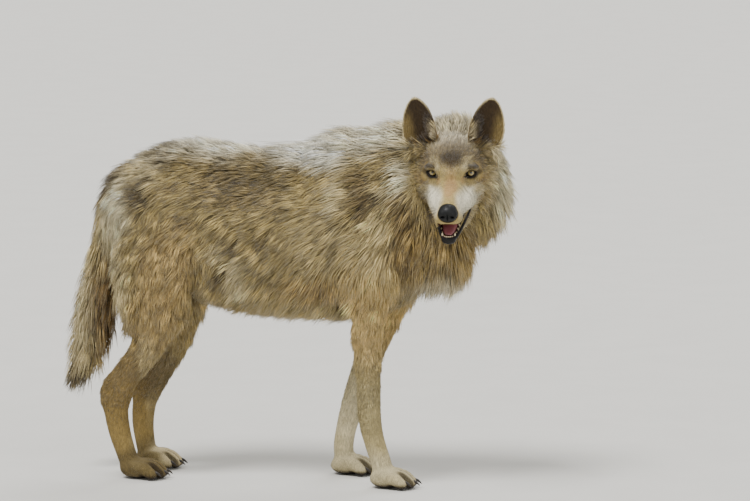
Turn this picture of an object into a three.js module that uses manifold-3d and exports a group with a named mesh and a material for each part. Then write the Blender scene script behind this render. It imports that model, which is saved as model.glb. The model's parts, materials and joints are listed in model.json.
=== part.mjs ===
// A timber wolf, life size: it stands in profile and turns its head to its right, its mouth a little open.
// Millimetres. +X is where the body faces, +Y its left side, +Z up, and the soles lie at z = 0.
//
// The whole animal is one smooth field, negative inside the coat: oval tubes for the trunk, neck, tail
// and legs, and ellipsoids for the head. Each part is meshed from that field at a step of its own, and
// boxes part it from its neighbours along flat cuts. Eyes, tongue, teeth and claws are plain shapes set
// into those parts.

import * as THREE from "three";
import { mergeVertices } from "three/addons/utils/BufferGeometryUtils.js";
import Module from "manifold-3d";

const wasm = await Module();
wasm.setup();

// ---------------------------------------------------------------- driving dimensions

const PART_GAP = 0.4; // clear space between neighbouring parts
const WELD = 2e-3; // corners closer than this become one
const SOLE_DEPTH = 12; // the field runs this far under the floor, so that each sole is cut flat

// Trunk sections from the rump to the breast: station x, top and underside of the coat, half the width.
const TRUNK = [
  { x: -245, top: 716, bottom: 455, half: 96 },
  { x: -160, top: 750, bottom: 428, half: 112 },
  { x: -70, top: 745, bottom: 374, half: 124 },
  { x: 20, top: 737, bottom: 356, half: 136 },
  { x: 110, top: 752, bottom: 350, half: 143 },
  { x: 200, top: 778, bottom: 354, half: 140 },
  { x: 268, top: 793, bottom: 386, half: 124 },
];

// Neck sections, from the shoulders to behind the jaw: centre, half height, half width.
// It bends to the right.
const NECK = [
  { at: [262, 0, 630], high: 164, wide: 126 },
  { at: [335, 8, 654], high: 150, wide: 110 },
  { at: [400, 26, 668], high: 145, wide: 92 },
];
const RUFF = { at: [441, 14, 664], size: [127, 88, 156] };

// Tail sections, from the root to the tip of the hair: centre, half depth, half width.
const TAIL = [
  { at: [-316, 0, 606], high: 54, wide: 50 },
  { at: [-352, 0, 520], high: 53, wide: 50 },
  { at: [-380, 0, 420], high: 51, wide: 48 },
  { at: [-397, 0, 320], high: 46, wide: 42 },
  { at: [-420, 0, 238], high: 28, wide: 26 },
  { at: [-430, 0, 192], high: 11, wide: 10 },
];

// Leg sections from the top down. The two legs of a pair share levels and sizes, and stand at their own x.
const FORE = {
  z: [470, 388, 322, 237, 150, 102, 62],
  high: [70, 45, 37, 31, 29, 25, 24],
  wide: [44, 33, 28, 24, 25, 23, 26],
  y: [92, 84, 80, 78, 77, 76, 76],
  joints: { top: 396, wrist: 158, paw: 56 },
};
const HIND = {
  z: [590, 480, 400, 336, 285, 230, 190, 150, 105, 65],
  high: [104, 104, 92, 56, 39, 36, 41, 32, 28, 24],
  wide: [58, 58, 50, 38, 30, 25, 25, 22, 21, 24],
  y: [48, 64, 72, 74, 74, 73, 72, 71, 70, 70],
  joints: { hip: 520, knee: 322, hock: 214, paw: 58 },
};
const LEGS = [
  { name: "foreleg_right", kind: FORE, side: -1, x: [262, 258, 256, 258, 261, 271, 284], paw: 286 },
  { name: "foreleg_left", kind: FORE, side: 1, x: [300, 275, 249, 213, 187, 174, 168], paw: 164 },
  {
    name: "hindleg_right",
    kind: HIND,
    side: -1,
    x: [-235, -230, -227, -231, -251, -293, -316, -317, -310, -298],
    paw: -280,
  },
  {
    name: "hindleg_left",
    kind: HIND,
    side: 1,
    x: [-235, -228, -224, -213, -221, -252, -281, -290, -294, -290],
    paw: -282,
  },
];
const SHOULDER = { from: [205, 66, 690], to: [262, 90, 480], high: [78, 74], wide: [52, 46] };

// Paws, measured from the pastern's foot: x forward, y outward, z up.
const PAW = {
  centre: [14, 0, 23],
  size: [44, 38, 29],
  toeRadius: 16.5,
  toeBack: [26, 31],
  toeTip: [64, 13.5],
};
const TOES = [
  { spread: -31, back: 15 },
  { spread: -11, back: 0 },
  { spread: 11, back: 0 },
  { spread: 31, back: 15 },
];
const CLAW = { length: 17, radius: 4, sides: 5, rings: 2, droop: 8, from: 9, z: 18 };

// Head, in its own frame: f forward, l to its left, t up, from the point between the pupils.
const HEAD = { at: [448, -110, 699.5], turn: -83, nod: 8.5 };
const EYE = { at: [-11, 41.5, 0], radius: 12.5, opening: [22, 12.5, 8.5] };
const EAR = {
  base: [-64, 62, 48],
  tip: [-76, 87, 149],
  facing: [0.95, 0.28, 0.1],
  half: 39.5,
  fullTo: 0.3, // the ear keeps its full width up to this share of its length
  thick: 11,
  cup: 22,
  cut: 14, // the head and the ear part this far up the ear
  rows: 7,
  columns: 6,
};
const MUZZLE = [
  { at: [-12, 0, -36], high: 44, wide: 50 },
  { at: [38, 0, -45], high: 36, wide: 37 },
  { at: [84, 0, -55], high: 31, wide: 31 },
  { at: [112, 0, -61], high: 25, wide: 26 },
];
const JAW = [
  { at: [-60, 0, -70], high: 40, wide: 60 },
  { at: [0, 0, -92], high: 27, wide: 43 },
  { at: [56, 0, -110], high: 18, wide: 27 },
  { at: [100, 0, -121], high: 13, wide: 19 },
];
const TONGUE = { from: [30, -90], to: [96, -111], half: 15, thick: 4.5 };
const LOWER_TEETH = [
  ...[-1, 1].map((s) => ({ at: [103, 15 * s, -114], radius: 4.2, tall: 19 })),
  ...[-2, -1, 0, 1, 2].map((i) => ({ at: [110.5 - i * i * 0.8, 4.3 * i, -112], radius: 2.4, tall: 7.5 })),
];

// Mesh steps: the size of a facet in each part.
const STEP = {
  trunk: 56,
  neck: 42,
  head: 20,
  muzzle: 13,
  jaw: 14,
  nose: 8.5,
  tail: 31,
  thigh: 36,
  leg: 25,
  paw: 18,
};

// ---------------------------------------------------------------- field

const clamp01 = (x) => Math.min(1, Math.max(0, x));
const mix = (a, b, t) => a + (b - a) * t;

/** The union of two distances, rounded over a width of k. */
function join(a, b, k) {
  if (Math.abs(a - b) >= k) return Math.min(a, b);
  const h = clamp01(0.5 + (0.5 * (b - a)) / k);
  return mix(b, a, h) - k * h * (1 - h);
}

/** Distance to an ellipsoid from a point that is given from its centre. */
function ovalDistance(x, y, z, [a, b, c]) {
  const k = Math.hypot(x / a, y / b, z / c);
  return Math.hypot(x, y, z) * (1 - 1 / Math.max(k, 1e-3));
}

/**
 * An oval tube through sections. Each section has a centre, half the width across `side`, and half the
 * height.
 */
class OvalTube {
  constructor(sections, side = [0, 1, 0], between = 5) {
    const centres = new THREE.CatmullRomCurve3(sections.map((s) => new THREE.Vector3(...s.at)));
    const sizes = new THREE.CatmullRomCurve3(
      sections.map((s) => new THREE.Vector3(s.high, s.wide, 0)),
      false,
      "catmullrom",
    );
    const count = (sections.length - 1) * between;
    this.side = side;
    this.rings = Array.from({ length: count + 1 }, (_, i) => {
      const c = centres.getPoint(i / count);
      const s = sizes.getPoint(i / count);
      return [c.x, c.y, c.z, s.x, s.y];
    });
    this.reach = Math.max(...this.rings.map((r) => Math.max(r[3], r[4])));
    this.box = new THREE.Box3().setFromPoints(this.rings.map((r) => new THREE.Vector3(r[0], r[1], r[2])));
  }

  distance(x, y, z) {
    const [sx, sy, sz] = this.side;
    let best = Infinity;
    for (let i = 0; i + 1 < this.rings.length; i++) {
      const a = this.rings[i];
      const b = this.rings[i + 1];
      const ux = b[0] - a[0];
      const uy = b[1] - a[1];
      const uz = b[2] - a[2];
      const along = (x - a[0]) * ux + (y - a[1]) * uy + (z - a[2]) * uz;
      const t = clamp01(along / (ux * ux + uy * uy + uz * uz));
      const qx = x - a[0] - t * ux;
      const qy = y - a[1] - t * uy;
      const qz = z - a[2] - t * uz;
      const across = qx * sx + qy * sy + qz * sz;
      const square = qx * qx + qy * qy + qz * qz;
      const rest = Math.sqrt(Math.max(0, square - across * across));
      const k = Math.hypot(across / mix(a[4], b[4], t), rest / mix(a[3], b[3], t));
      best = Math.min(best, Math.sqrt(square) * (1 - 1 / Math.max(k, 1e-3)));
    }
    return best;
  }
}

const trunk = new OvalTube(
  TRUNK.map((s) => ({ at: [s.x, 0, (s.top + s.bottom) / 2], high: (s.top - s.bottom) / 2, wide: s.half })),
);
const neck = new OvalTube(NECK);
const tail = new OvalTube(TAIL);
const legs = LEGS.map((leg) => {
  const { z, high, wide, y } = leg.kind;
  return new OvalTube(
    z.map((level, i) => ({ at: [leg.x[i], leg.side * y[i], level], high: high[i], wide: wide[i] })),
  );
});
const shoulders = [-1, 1].map(
  (s) =>
    new OvalTube(
      [SHOULDER.from, SHOULDER.to].map((p, i) => ({
        at: [p[0], s * p[1], p[2]],
        high: SHOULDER.high[i],
        wide: SHOULDER.wide[i],
      })),
    ),
);
const muzzle = new OvalTube(MUZZLE);
const jaw = new OvalTube(JAW);
const toes = LEGS.map((leg) =>
  TOES.map(({ spread, back }) => {
    const y = leg.side * leg.kind.y.at(-1);
    return new OvalTube(
      [
        { at: [leg.paw + PAW.toeBack[0] - back, y + spread * 0.72, PAW.toeBack[1]], high: 17, wide: 15 },
        { at: [leg.paw + PAW.toeTip[0] - back, y + spread, PAW.toeTip[1]], high: PAW.toeRadius, wide: 14 },
      ],
      [0, 1, 0],
      1,
    );
  }),
);

/** The head's frame: its matrix carries (f, l, t) to the body's frame. */
const headMatrix = new THREE.Matrix4()
  .makeTranslation(...HEAD.at)
  .multiply(new THREE.Matrix4().makeRotationZ(THREE.MathUtils.degToRad(HEAD.turn)))
  .multiply(new THREE.Matrix4().makeRotationY(THREE.MathUtils.degToRad(HEAD.nod)));
const toHead = headMatrix.clone().invert();

const earBase = new THREE.Vector3(...EAR.base);
const earAxis = new THREE.Vector3(...EAR.tip).sub(earBase);
const earLength = earAxis.length();
earAxis.normalize();
const earAcross = new THREE.Vector3(...EAR.facing).cross(earAxis).normalize();
const earFacing = new THREE.Vector3().crossVectors(earAxis, earAcross);

/** Distance to the head's coat, in the head's frame, with its upper part, its jaw or both. */
function headDistance(f, l, t, { upper, lower }) {
  const m = Math.abs(l);
  let d = ovalDistance(f + 62, l, t - 12, [86, 68, 64]); // skull
  d = join(d, ovalDistance(f + 14, m - 22, t - 14, [34, 26, 19]), 18); // brows
  d = join(d, ovalDistance(f + 46, m - 46, t + 24, [52, 33, 46]), 26); // cheekbones
  d = join(d, ovalDistance(f + 84, m - 66, t + 46, [46, 52, 78]), 34); // cheek hair
  if (upper) {
    d = join(d, muzzle.distance(f, l, t), 20);
    d = join(d, ovalDistance(f - 98, m - 14, t + 71, [25, 18, 16]), 10); // whisker pads
    d = join(d, ovalDistance(f - 124, l, t + 57, [15, 20.5, 18.5]), 5); // nose
  }
  if (lower) d = join(d, jaw.distance(f, l, t), 12);
  return join(d, ovalDistance(f + 66, m - 64, t - 46, [24, 36, 26]), 14); // ear roots
}

/** Distance to the coat's outline anywhere in the body's frame. */
function wolfDistance(x, y, z, mouth = { upper: true, lower: true }) {
  let d = trunk.distance(x, y, z);
  d = join(d, neck.distance(x, y, z), 50);
  for (const s of shoulders) d = join(d, s.distance(x, y, z), 40);
  const [cx, cy, cz] = RUFF.at;
  d = join(d, ovalDistance(x - cx, y - cy, z - cz, RUFF.size), 40);
  legs.forEach((leg, i) => {
    const paw = pawDistance(i, x, y, z);
    d = join(d, join(leg.distance(x, y, z), paw, 14), LEGS[i].kind === FORE ? 22 : 30);
  });
  d = join(d, tail.distance(x, y, z), z > 470 ? 24 : mix(6, 24, clamp01((z - 400) / 70)));
  const h = new THREE.Vector3(x, y, z).applyMatrix4(toHead);
  if (h.x < -200 || h.length() > 330) return d;
  return join(d, headDistance(h.x, h.y, h.z, mouth), 18);
}

/** Distance to one paw: a pad and four toes. */
function pawDistance(index, x, y, z) {
  const leg = LEGS[index];
  if (z > 140) return Infinity;
  const [cx, cy, cz] = PAW.centre;
  const d = ovalDistance(x - leg.paw - cx, y - leg.side * (leg.kind.y.at(-1) + cy), z - cz, PAW.size);
  return toes[index].reduce((sum, toe) => join(sum, toe.distance(x, y, z), 6), d);
}

// ---------------------------------------------------------------- meshing

/** The eight corners of a grid cell, and the twelve edges between them. */
const CORNERS = Array.from({ length: 8 }, (_, i) => [i & 1, (i >> 1) & 1, i >> 2]);
const EDGES = CORNERS.flatMap((_, i) => [1, 2, 4].filter((bit) => !(i & bit)).map((bit) => [i, i | bit]));

/** Meshes the zero level of a field inside a box: one vertex in each cell that the surface crosses. */
function surface(field, box, step) {
  const size = box.getSize(new THREE.Vector3());
  const n = ["x", "y", "z"].map((k) => Math.ceil(size[k] / step) + 3);
  const low = box.min.clone().subScalar(step);
  const at = (i, j, k) => [low.x + i * step, low.y + j * step, low.z + k * step];
  const id = (i, j, k) => i + n[0] * (j + n[1] * k);
  const values = new Float32Array(n[0] * n[1] * n[2]).fill(step);
  for (let k = 1; k < n[2] - 1; k++)
    for (let j = 1; j < n[1] - 1; j++)
      for (let i = 1; i < n[0] - 1; i++) values[id(i, j, k)] = field(...at(i, j, k));

  fillDiagonals(values, n, step);

  const vertexOf = new Int32Array(values.length).fill(-1);
  const points = [];
  for (let k = 0; k < n[2] - 1; k++)
    for (let j = 0; j < n[1] - 1; j++)
      for (let i = 0; i < n[0] - 1; i++) {
        const v = CORNERS.map(([a, b, c]) => values[id(i + a, j + b, k + c)]);
        const crossed = EDGES.filter(([a, b]) => v[a] < 0 !== v[b] < 0);
        if (!crossed.length) continue;
        const sum = new THREE.Vector3();
        for (const [a, b] of crossed) {
          const t = v[a] / (v[a] - v[b]);
          sum.add(new THREE.Vector3(...CORNERS[a]).lerp(new THREE.Vector3(...CORNERS[b]), t));
        }
        vertexOf[id(i, j, k)] = points.length / 3;
        const start = new THREE.Vector3(...at(i, j, k)).addScaledVector(sum, step / crossed.length);
        points.push(...settle(start, field, step));
      }

  const faces = [];
  const around = [
    [[0, 1, 0], [0, 0, 1]],
    [[0, 0, 1], [1, 0, 0]],
    [[1, 0, 0], [0, 1, 0]],
  ];
  for (let k = 0; k < n[2] - 1; k++)
    for (let j = 0; j < n[1] - 1; j++)
      for (let i = 0; i < n[0] - 1; i++)
        for (let axis = 0; axis < 3; axis++) {
          const here = values[id(i, j, k)] < 0;
          const next = values[id(i + (axis === 0), j + (axis === 1), k + (axis === 2))] < 0;
          if (here === next) continue;
          const [u, w] = around[axis];
          const back = (a, b, c) => a * u[c] + b * w[c];
          const cell = (a, b) => vertexOf[id(i - back(a, b, 0), j - back(a, b, 1), k - back(a, b, 2))];
          const quad = [cell(0, 0), cell(1, 0), cell(1, 1), cell(0, 1)];
          if (!here) quad.reverse();
          faces.push(...splitQuad(quad, points));
        }
  return closed(points, faces);
}

/** Fills one corner of each grid square whose inside corners only meet across it, where it would pinch. */
function fillDiagonals(values, n, step) {
  const strides = [1, n[0], n[0] * n[1]];
  const place = (index, a) => Math.floor(index / strides[a]) % n[a];
  const inner = (index) => [0, 1, 2].every((a) => place(index, a) > 0 && place(index, a) < n[a] - 1);
  const squares = [
    [strides[0], strides[1]],
    [strides[1], strides[2]],
    [strides[2], strides[0]],
  ];
  for (let again = true; again; ) {
    again = false;
    for (let p = 0; p < values.length; p++)
      for (const [u, w] of squares) {
        const [a, b, c, d] = [p, p + u, p + u + w, p + w];
        const [ia, ib, ic, id] = [a, b, c, d].map((q) => values[q] < 0);
        if (ia !== ic || ib !== id || ia === ib) continue;
        const fill = (ia ? [b, d] : [a, c]).filter(inner).sort((q, r) => values[q] - values[r])[0];
        values[fill] = -0.02 * step;
        again = true;
      }
  }
}

/** Moves a vertex on to the field's zero level, by no more than half a step. */
function settle(p, field, step) {
  const from = p.clone();
  const e = 0.5;
  for (let pass = 0; pass < 2; pass++) {
    const d = field(p.x, p.y, p.z);
    const slope = new THREE.Vector3(
      field(p.x + e, p.y, p.z) - d,
      field(p.x, p.y + e, p.z) - d,
      field(p.x, p.y, p.z + e) - d,
    ).divideScalar(e);
    p.addScaledVector(slope, -d / Math.max(slope.lengthSq(), 0.5));
  }
  const moved = p.sub(from).clampLength(0, 0.35 * step);
  return from.add(moved).toArray();
}

/** Two triangles of a quad, split along its shorter diagonal. */
function splitQuad([a, b, c, d], points) {
  const far = (i, j) => Math.hypot(...[0, 1, 2].map((k) => points[3 * i + k] - points[3 * j + k]));
  return far(a, c) < far(b, d) ? [a, b, c, a, c, d] : [b, c, d, b, d, a];
}

/** Points and triangles as a solid. */
const closed = (points, faces) =>
  new wasm.Manifold(
    new wasm.Mesh({ numProp: 3, vertProperties: new Float32Array(points), triVerts: new Uint32Array(faces) }),
  );

/** A three.js geometry, moved by a matrix, as a solid. */
function solid(geometry, matrix = new THREE.Matrix4()) {
  const bare = new THREE.BufferGeometry();
  bare.setAttribute("position", geometry.getAttribute("position").clone());
  if (geometry.index) bare.setIndex(geometry.index.clone());
  const merged = mergeVertices(bare.applyMatrix4(matrix), 1e-4);
  return closed(merged.attributes.position.array, withoutSlivers(merged.index.array));
}

/** The triangles that keep three different corners. */
function withoutSlivers(index) {
  const kept = [];
  for (let i = 0; i < index.length; i += 3) {
    const [a, b, c] = index.slice(i, i + 3);
    if (a !== b && b !== c && c !== a) kept.push(a, b, c);
  }
  return kept;
}

/** A solid's largest body as a three.js geometry, without the slivers that a cut leaves. */
function geometryOf(made) {
  const main = made.decompose().sort((a, b) => b.volume() - a.volume())[0];
  const { numProp, vertProperties, triVerts } = main.getMesh();
  const corners = new Map();
  const points = [];
  const merged = Array.from({ length: vertProperties.length / numProp }, (_, i) => {
    const corner = [0, 1, 2].map((k) => Math.round(vertProperties[i * numProp + k] / WELD) * WELD);
    const key = corner.map((v) => v.toFixed(4)).join();
    if (!corners.has(key)) {
      corners.set(key, points.length / 3);
      points.push(...corner);
    }
    return corners.get(key);
  });
  const geometry = new THREE.BufferGeometry();
  geometry.setAttribute("position", new THREE.Float32BufferAttribute(points, 3));
  geometry.setIndex(withoutFins(withoutSlivers(Array.from(triVerts, (v) => merged[v]))));
  return geometry;
}

/** The triangles that have no twin facing the other way. */
function withoutFins(index) {
  const kept = new Map();
  for (let i = 0; i < index.length; i += 3) {
    const triangle = index.slice(i, i + 3);
    const key = [...triangle].sort((a, b) => a - b).join();
    if (kept.has(key)) kept.delete(key);
    else kept.set(key, triangle);
  }
  return [...kept.values()].flat();
}

// ---------------------------------------------------------------- cuts

/** A box from its lowest and highest corner, moved by a matrix. grow widens it on every side. */
function cutter(low, high, matrix = new THREE.Matrix4()) {
  const size = low.map((v, i) => high[i] - v);
  const centre = low.map((v, i) => (high[i] + v) / 2);
  const placed = matrix.clone().multiply(new THREE.Matrix4().makeTranslation(...centre));
  const make = (grow) => solid(new THREE.BoxGeometry(...size.map((s) => s + 2 * grow)), placed);
  const corners = new THREE.Box3(new THREE.Vector3(...low), new THREE.Vector3(...high)).applyMatrix4(matrix);
  return { inner: make(-0.4 * PART_GAP), outer: make(0.6 * PART_GAP), bounds: corners };
}

/** A frame at a point, turned about Y so that its own +X tips down by the angle in degrees. */
const tipped = (x, y, z, degrees) =>
  new THREE.Matrix4()
    .makeTranslation(x, y, z)
    .multiply(new THREE.Matrix4().makeRotationY(THREE.MathUtils.degToRad(degrees)));

/** An ear's own frame: x across, y the way it faces, z to its tip. side is 1 for the left ear. */
function earFrame(side) {
  const flip = (v) => new THREE.Vector3(v.x, v.y * side, v.z);
  const across = flip(earAcross).multiplyScalar(side);
  const basis = new THREE.Matrix4().makeBasis(across, flip(earFacing), flip(earAxis));
  const root = new THREE.Matrix4().makeTranslation(...flip(earBase));
  return headMatrix.clone().multiply(root).multiply(basis);
}

/** The room above the flat cut that parts an ear from the head. grow moves the cut. */
function earRoom(side, grow = 0) {
  const room = new THREE.BoxGeometry(90, 110, 130).translate(0, 0, EAR.cut - grow + 65);
  return solid(room, earFrame(side));
}

const sideRange = (side, near, far) => (side < 0 ? [-far, -near] : [near, far]);

/** The cuts of one leg, from the paw up: name, kind of facet, and box. */
function legCuts({ name, kind, side, x, paw }) {
  const { top, wrist, hip, knee, hock, paw: pawTop } = kind.joints;
  const [y0, y1] = sideRange(side, 4, 190);
  const band = (suffix, step, z0, z1, x0, x1) => [
    `${name}_${suffix}`,
    step,
    cutter([x0, y0, z0], [x1, y1, z1]),
  ];
  if (kind === FORE) {
    const lean = THREE.MathUtils.radToDeg(Math.atan2(x[1] - x[4], kind.z[1] - kind.z[4]));
    const [f0, f1] = sideRange(side, 34, 190);
    const forearm = cutter([-64, f0, wrist - top - 40], [64, f1, 0], tipped(x[1], 0, top, lean));
    return [
      band("paw", "paw", 0, pawTop, paw - 60, paw + 110),
      band("pastern", "leg", pawTop, wrist, x[4] - 80, paw + 130),
      [`${name}_forearm`, "leg", forearm],
    ];
  }
  const [t0, t1] = sideRange(side, 30, 190);
  return [
    band("paw", "paw", 0, pawTop, paw - 60, paw + 110),
    band("metatarsus", "leg", pawTop, hock, -372, x.at(-1) + 60),
    band("shank", "leg", hock, knee, -360, -100),
    [`${name}_thigh`, "thigh", cutter([-112, t0, knee - hip], [112, t1, 0], tipped(x[1] - 8, 0, hip, 0))],
  ];
}

/** The flat cut between the muzzle and the jaw, in the head's frame. */
const MOUTH_LINE = tipped(0, 0, -69.5, 14.6);

const cuts = [
  ["nose", "nose", cutter([118.5, -40, -77.5], [170, 40, -20], headMatrix)],
  ["jaw", "jaw", cutter([30, -60, -75], [150, 60, 0], headMatrix.clone().multiply(MOUTH_LINE))],
  ["muzzle", "muzzle", cutter([30, -60, -100], [150, 60, 60], headMatrix)],
  ["head", "head", cutter([-64, -98, -126], [60, 98, 110], headMatrix)],
  ["tail_end", "tail", cutter([-200, -60, -280], [0, 60, 0], tipped(-332, 0, 352, 15))],
  ["tail_base", "tail", cutter([-200, -52, -290], [0, 52, 0], tipped(-372, 0, 590, -12))],
  ["neck", "neck", cutter([0, -250, -330], [400, 250, 300], tipped(318, 0, 670, -16.6))],
  ...LEGS.flatMap(legCuts),
];

const MOUTH_PARTS = {
  nose: { upper: true, lower: false },
  muzzle: { upper: true, lower: false },
  jaw: { upper: false, lower: true },
};

const wolfBox = new THREE.Box3(new THREE.Vector3(-520, -220, -SOLE_DEPTH), new THREE.Vector3(620, 220, 900));
const overFloor = solid(new THREE.BoxGeometry(1400, 800, 1000).translate(0, 0, 500));

/** The field's solid inside a box, with some room round it. */
function wolfSolid(bounds, step, mouth) {
  const field = (x, y, z) => wolfDistance(x, y, z, mouth);
  const room = bounds.clone().expandByScalar(2.5 * step).intersect(wolfBox);
  return surface(field, room, step).intersect(overFloor);
}

// ---------------------------------------------------------------- small pieces

/** A cone that curves down: a claw or a tooth. It starts at the origin and runs along +X. */
function hookGeometry({ length, radius, sides, rings, droop }) {
  const outline = Array.from({ length: rings + 1 }, (_, i) => {
    const s = i / rings;
    return new THREE.Vector2(radius * Math.sqrt(1 - s) * (i === rings ? 0 : 1), length * s);
  });
  outline.unshift(new THREE.Vector2(0, 0));
  const geometry = new THREE.LatheGeometry(outline, sides);
  geometry.rotateZ(-Math.PI / 2);
  const position = geometry.getAttribute("position");
  for (let i = 0; i < position.count; i++) {
    const s = position.getX(i) / length;
    position.setZ(i, position.getZ(i) - droop * s * s);
  }
  return geometry;
}

/** An ear: a leaf-shaped sheet, cupped forwards, in its own frame. grow thickens it for its bed. */
function earGeometry(grow = 0) {
  const { cup, rows, columns } = EAR;
  const half = EAR.half + grow;
  const thick = EAR.thick + 2 * grow;
  const points = [];
  for (const face of [1, -1])
    for (let j = 0; j <= rows; j++)
      for (let i = 0; i <= columns; i++) {
        const up = j / rows;
        const u = (2 * i) / columns - 1;
        const taper = clamp01((up - EAR.fullTo) / (1 - EAR.fullTo));
        const swell = Math.pow(1 - taper * taper, 0.56);
        const rim = Math.sqrt(Math.max(0, 1 - Math.pow(u, 6))) * (j === rows ? 0 : 1);
        const spread = (half * swell * u) / EAR.half;
        const bend = cup * mix(1.15, 0.3, up) * (spread * spread - 0.4);
        const lift = (face * thick * mix(1.2, 0.7, up) * rim) / 2;
        points.push(half * swell * u, bend + lift, (earLength + grow) * up);
      }
  const row = columns + 1;
  const sheet = row * (rows + 1);
  const faces = [];
  for (let j = 0; j < rows; j++)
    for (let i = 0; i < columns; i++) {
      const a = j * row + i;
      faces.push(a, a + row, a + 1, a + 1, a + row, a + row + 1);
      const b = a + sheet;
      faces.push(b, b + 1, b + row, b + 1, b + row + 1, b + row);
    }
  for (let i = 0; i < columns; i++) faces.push(i, i + 1, i + 1 + sheet, i, i + 1 + sheet, i + sheet);
  const geometry = new THREE.BufferGeometry();
  geometry.setAttribute("position", new THREE.Float32BufferAttribute(points, 3));
  geometry.setIndex(faces);
  return geometry;
}

/** The tongue: a flat oval that lies in the lower jaw, in the head's frame. grow widens it for its bed. */
function tongueGeometry(grow = 0) {
  const [f0, t0] = TONGUE.from;
  const [f1, t1] = TONGUE.to;
  const geometry = new THREE.SphereGeometry(1, 10, 5);
  geometry.scale((f1 - f0) / 2 + grow, TONGUE.half + grow, TONGUE.thick + grow);
  const position = geometry.getAttribute("position");
  for (let i = 0; i < position.count; i++) {
    const s = position.getX(i) / (f1 - f0);
    const groove = 2.2 * Math.exp(-Math.pow(position.getY(i) / 4, 2));
    const sunk = position.getZ(i) > 0 ? groove * (1 - Math.abs(2 * s)) : 0;
    position.setZ(i, position.getZ(i) * (1 - 0.25 * s) - sunk);
  }
  geometry.rotateY(-Math.atan2(t1 - t0, f1 - f0));
  geometry.translate((f0 + f1) / 2, 0, (t0 + t1) / 2);
  return geometry;
}

const material = (color, roughness) => new THREE.MeshStandardMaterial({ color, roughness, metalness: 0 });
const FINISH = {
  coat: material(0xa8967c, 0.85),
  pale: material(0xcfc4ae, 0.85),
  nose: material(0x17181a, 0.4),
  eye: material(0xb8a24a, 0.15),
  tongue: material(0xb0565f, 0.45),
  claw: material(0x2b2622, 0.5),
};
const finishOf = (name) =>
  name === "nose" ? FINISH.nose : /paw|pastern|muzzle|jaw/.test(name) ? FINISH.pale : FINISH.coat;

// ---------------------------------------------------------------- assembly

const made = new Map();
let taken = null; // every cut so far, grown by the gap
for (const [name, kind, { inner, outer, bounds }] of cuts) {
  let part = wolfSolid(bounds, STEP[kind], MOUTH_PARTS[name]).intersect(inner);
  if (taken) part = part.subtract(taken);
  made.set(name, part);
  taken = taken ? taken.add(outer) : outer;
}
made.set("trunk", wolfSolid(wolfBox, STEP.trunk).subtract(taken));

const pieces = new Map();
for (const [side, word] of [
  [1, "left"],
  [-1, "right"],
]) {
  const [f, l, t] = EYE.at;
  const placed = headMatrix.clone().multiply(new THREE.Matrix4().makeTranslation(f, side * l, t));
  pieces.set(`eye_${word}`, solid(new THREE.SphereGeometry(EYE.radius, 10, 6), placed));
  const socket = solid(new THREE.SphereGeometry(EYE.radius + PART_GAP, 10, 6), placed);
  const opening = new THREE.SphereGeometry(1, 12, 8).scale(...EYE.opening);
  opening.translate(EYE.opening[0] - 4, side, 0);
  const hollowed = made.get("head").subtract(socket).subtract(solid(opening, placed));
  made.set("head", hollowed.subtract(earRoom(side)));
  made.set("neck", made.get("neck").subtract(solid(earGeometry(3), earFrame(side))));
  made.set(`ear_${word}`, solid(earGeometry(), earFrame(side)).intersect(earRoom(side, -PART_GAP)));
}

pieces.set("tongue", solid(tongueGeometry(), headMatrix));
const tongueBed = solid(tongueGeometry(1.2), headMatrix);
for (const name of ["jaw", "muzzle", "head"]) made.set(name, made.get(name).subtract(tongueBed));

for (const { at, radius, tall } of LOWER_TEETH) {
  const placed = headMatrix
    .clone()
    .multiply(new THREE.Matrix4().makeTranslation(...at))
    .multiply(new THREE.Matrix4().makeRotationY(-Math.PI / 2));
  const tooth = solid(hookGeometry({ length: tall, radius, sides: 5, rings: 2, droop: tall * 0.12 }), placed);
  made.set("jaw", made.get("jaw").add(tooth));
}

for (const leg of LEGS) {
  const paw = `${leg.name}_paw`;
  TOES.forEach(({ spread, back }, i) => {
    const y = leg.side * leg.kind.y.at(-1) + spread;
    const placed = new THREE.Matrix4().makeTranslation(leg.paw + PAW.toeTip[0] - back + CLAW.from, y, CLAW.z);
    const bed = new THREE.Matrix4().makeScale(1.04, 1.12, 1.12);
    pieces.set(`${leg.name}_claw_${i + 1}`, solid(hookGeometry(CLAW), placed));
    made.set(paw, made.get(paw).subtract(solid(hookGeometry(CLAW), placed.clone().multiply(bed))));
  });
}

const wolf = new THREE.Group();
wolf.name = "timber_wolf";
for (const [name, part] of made) {
  const mesh = new THREE.Mesh(geometryOf(part), finishOf(name));
  mesh.name = name;
  wolf.add(mesh);
}
for (const [name, part] of pieces) {
  const key = name.startsWith("eye") ? "eye" : name === "tongue" ? "tongue" : "claw";
  const mesh = new THREE.Mesh(geometryOf(part), FINISH[key]);
  mesh.name = name;
  wolf.add(mesh);
}

// The origin is the middle of the model's box, on the floor.
const box = new THREE.Box3().setFromObject(wolf);
wolf.position.set(-(box.min.x + box.max.x) / 2, -(box.min.y + box.max.y) / 2, -box.min.z);

export default wolf;
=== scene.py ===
"""A timber wolf at life size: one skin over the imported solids, with a coat of solid tufts."""

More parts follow.
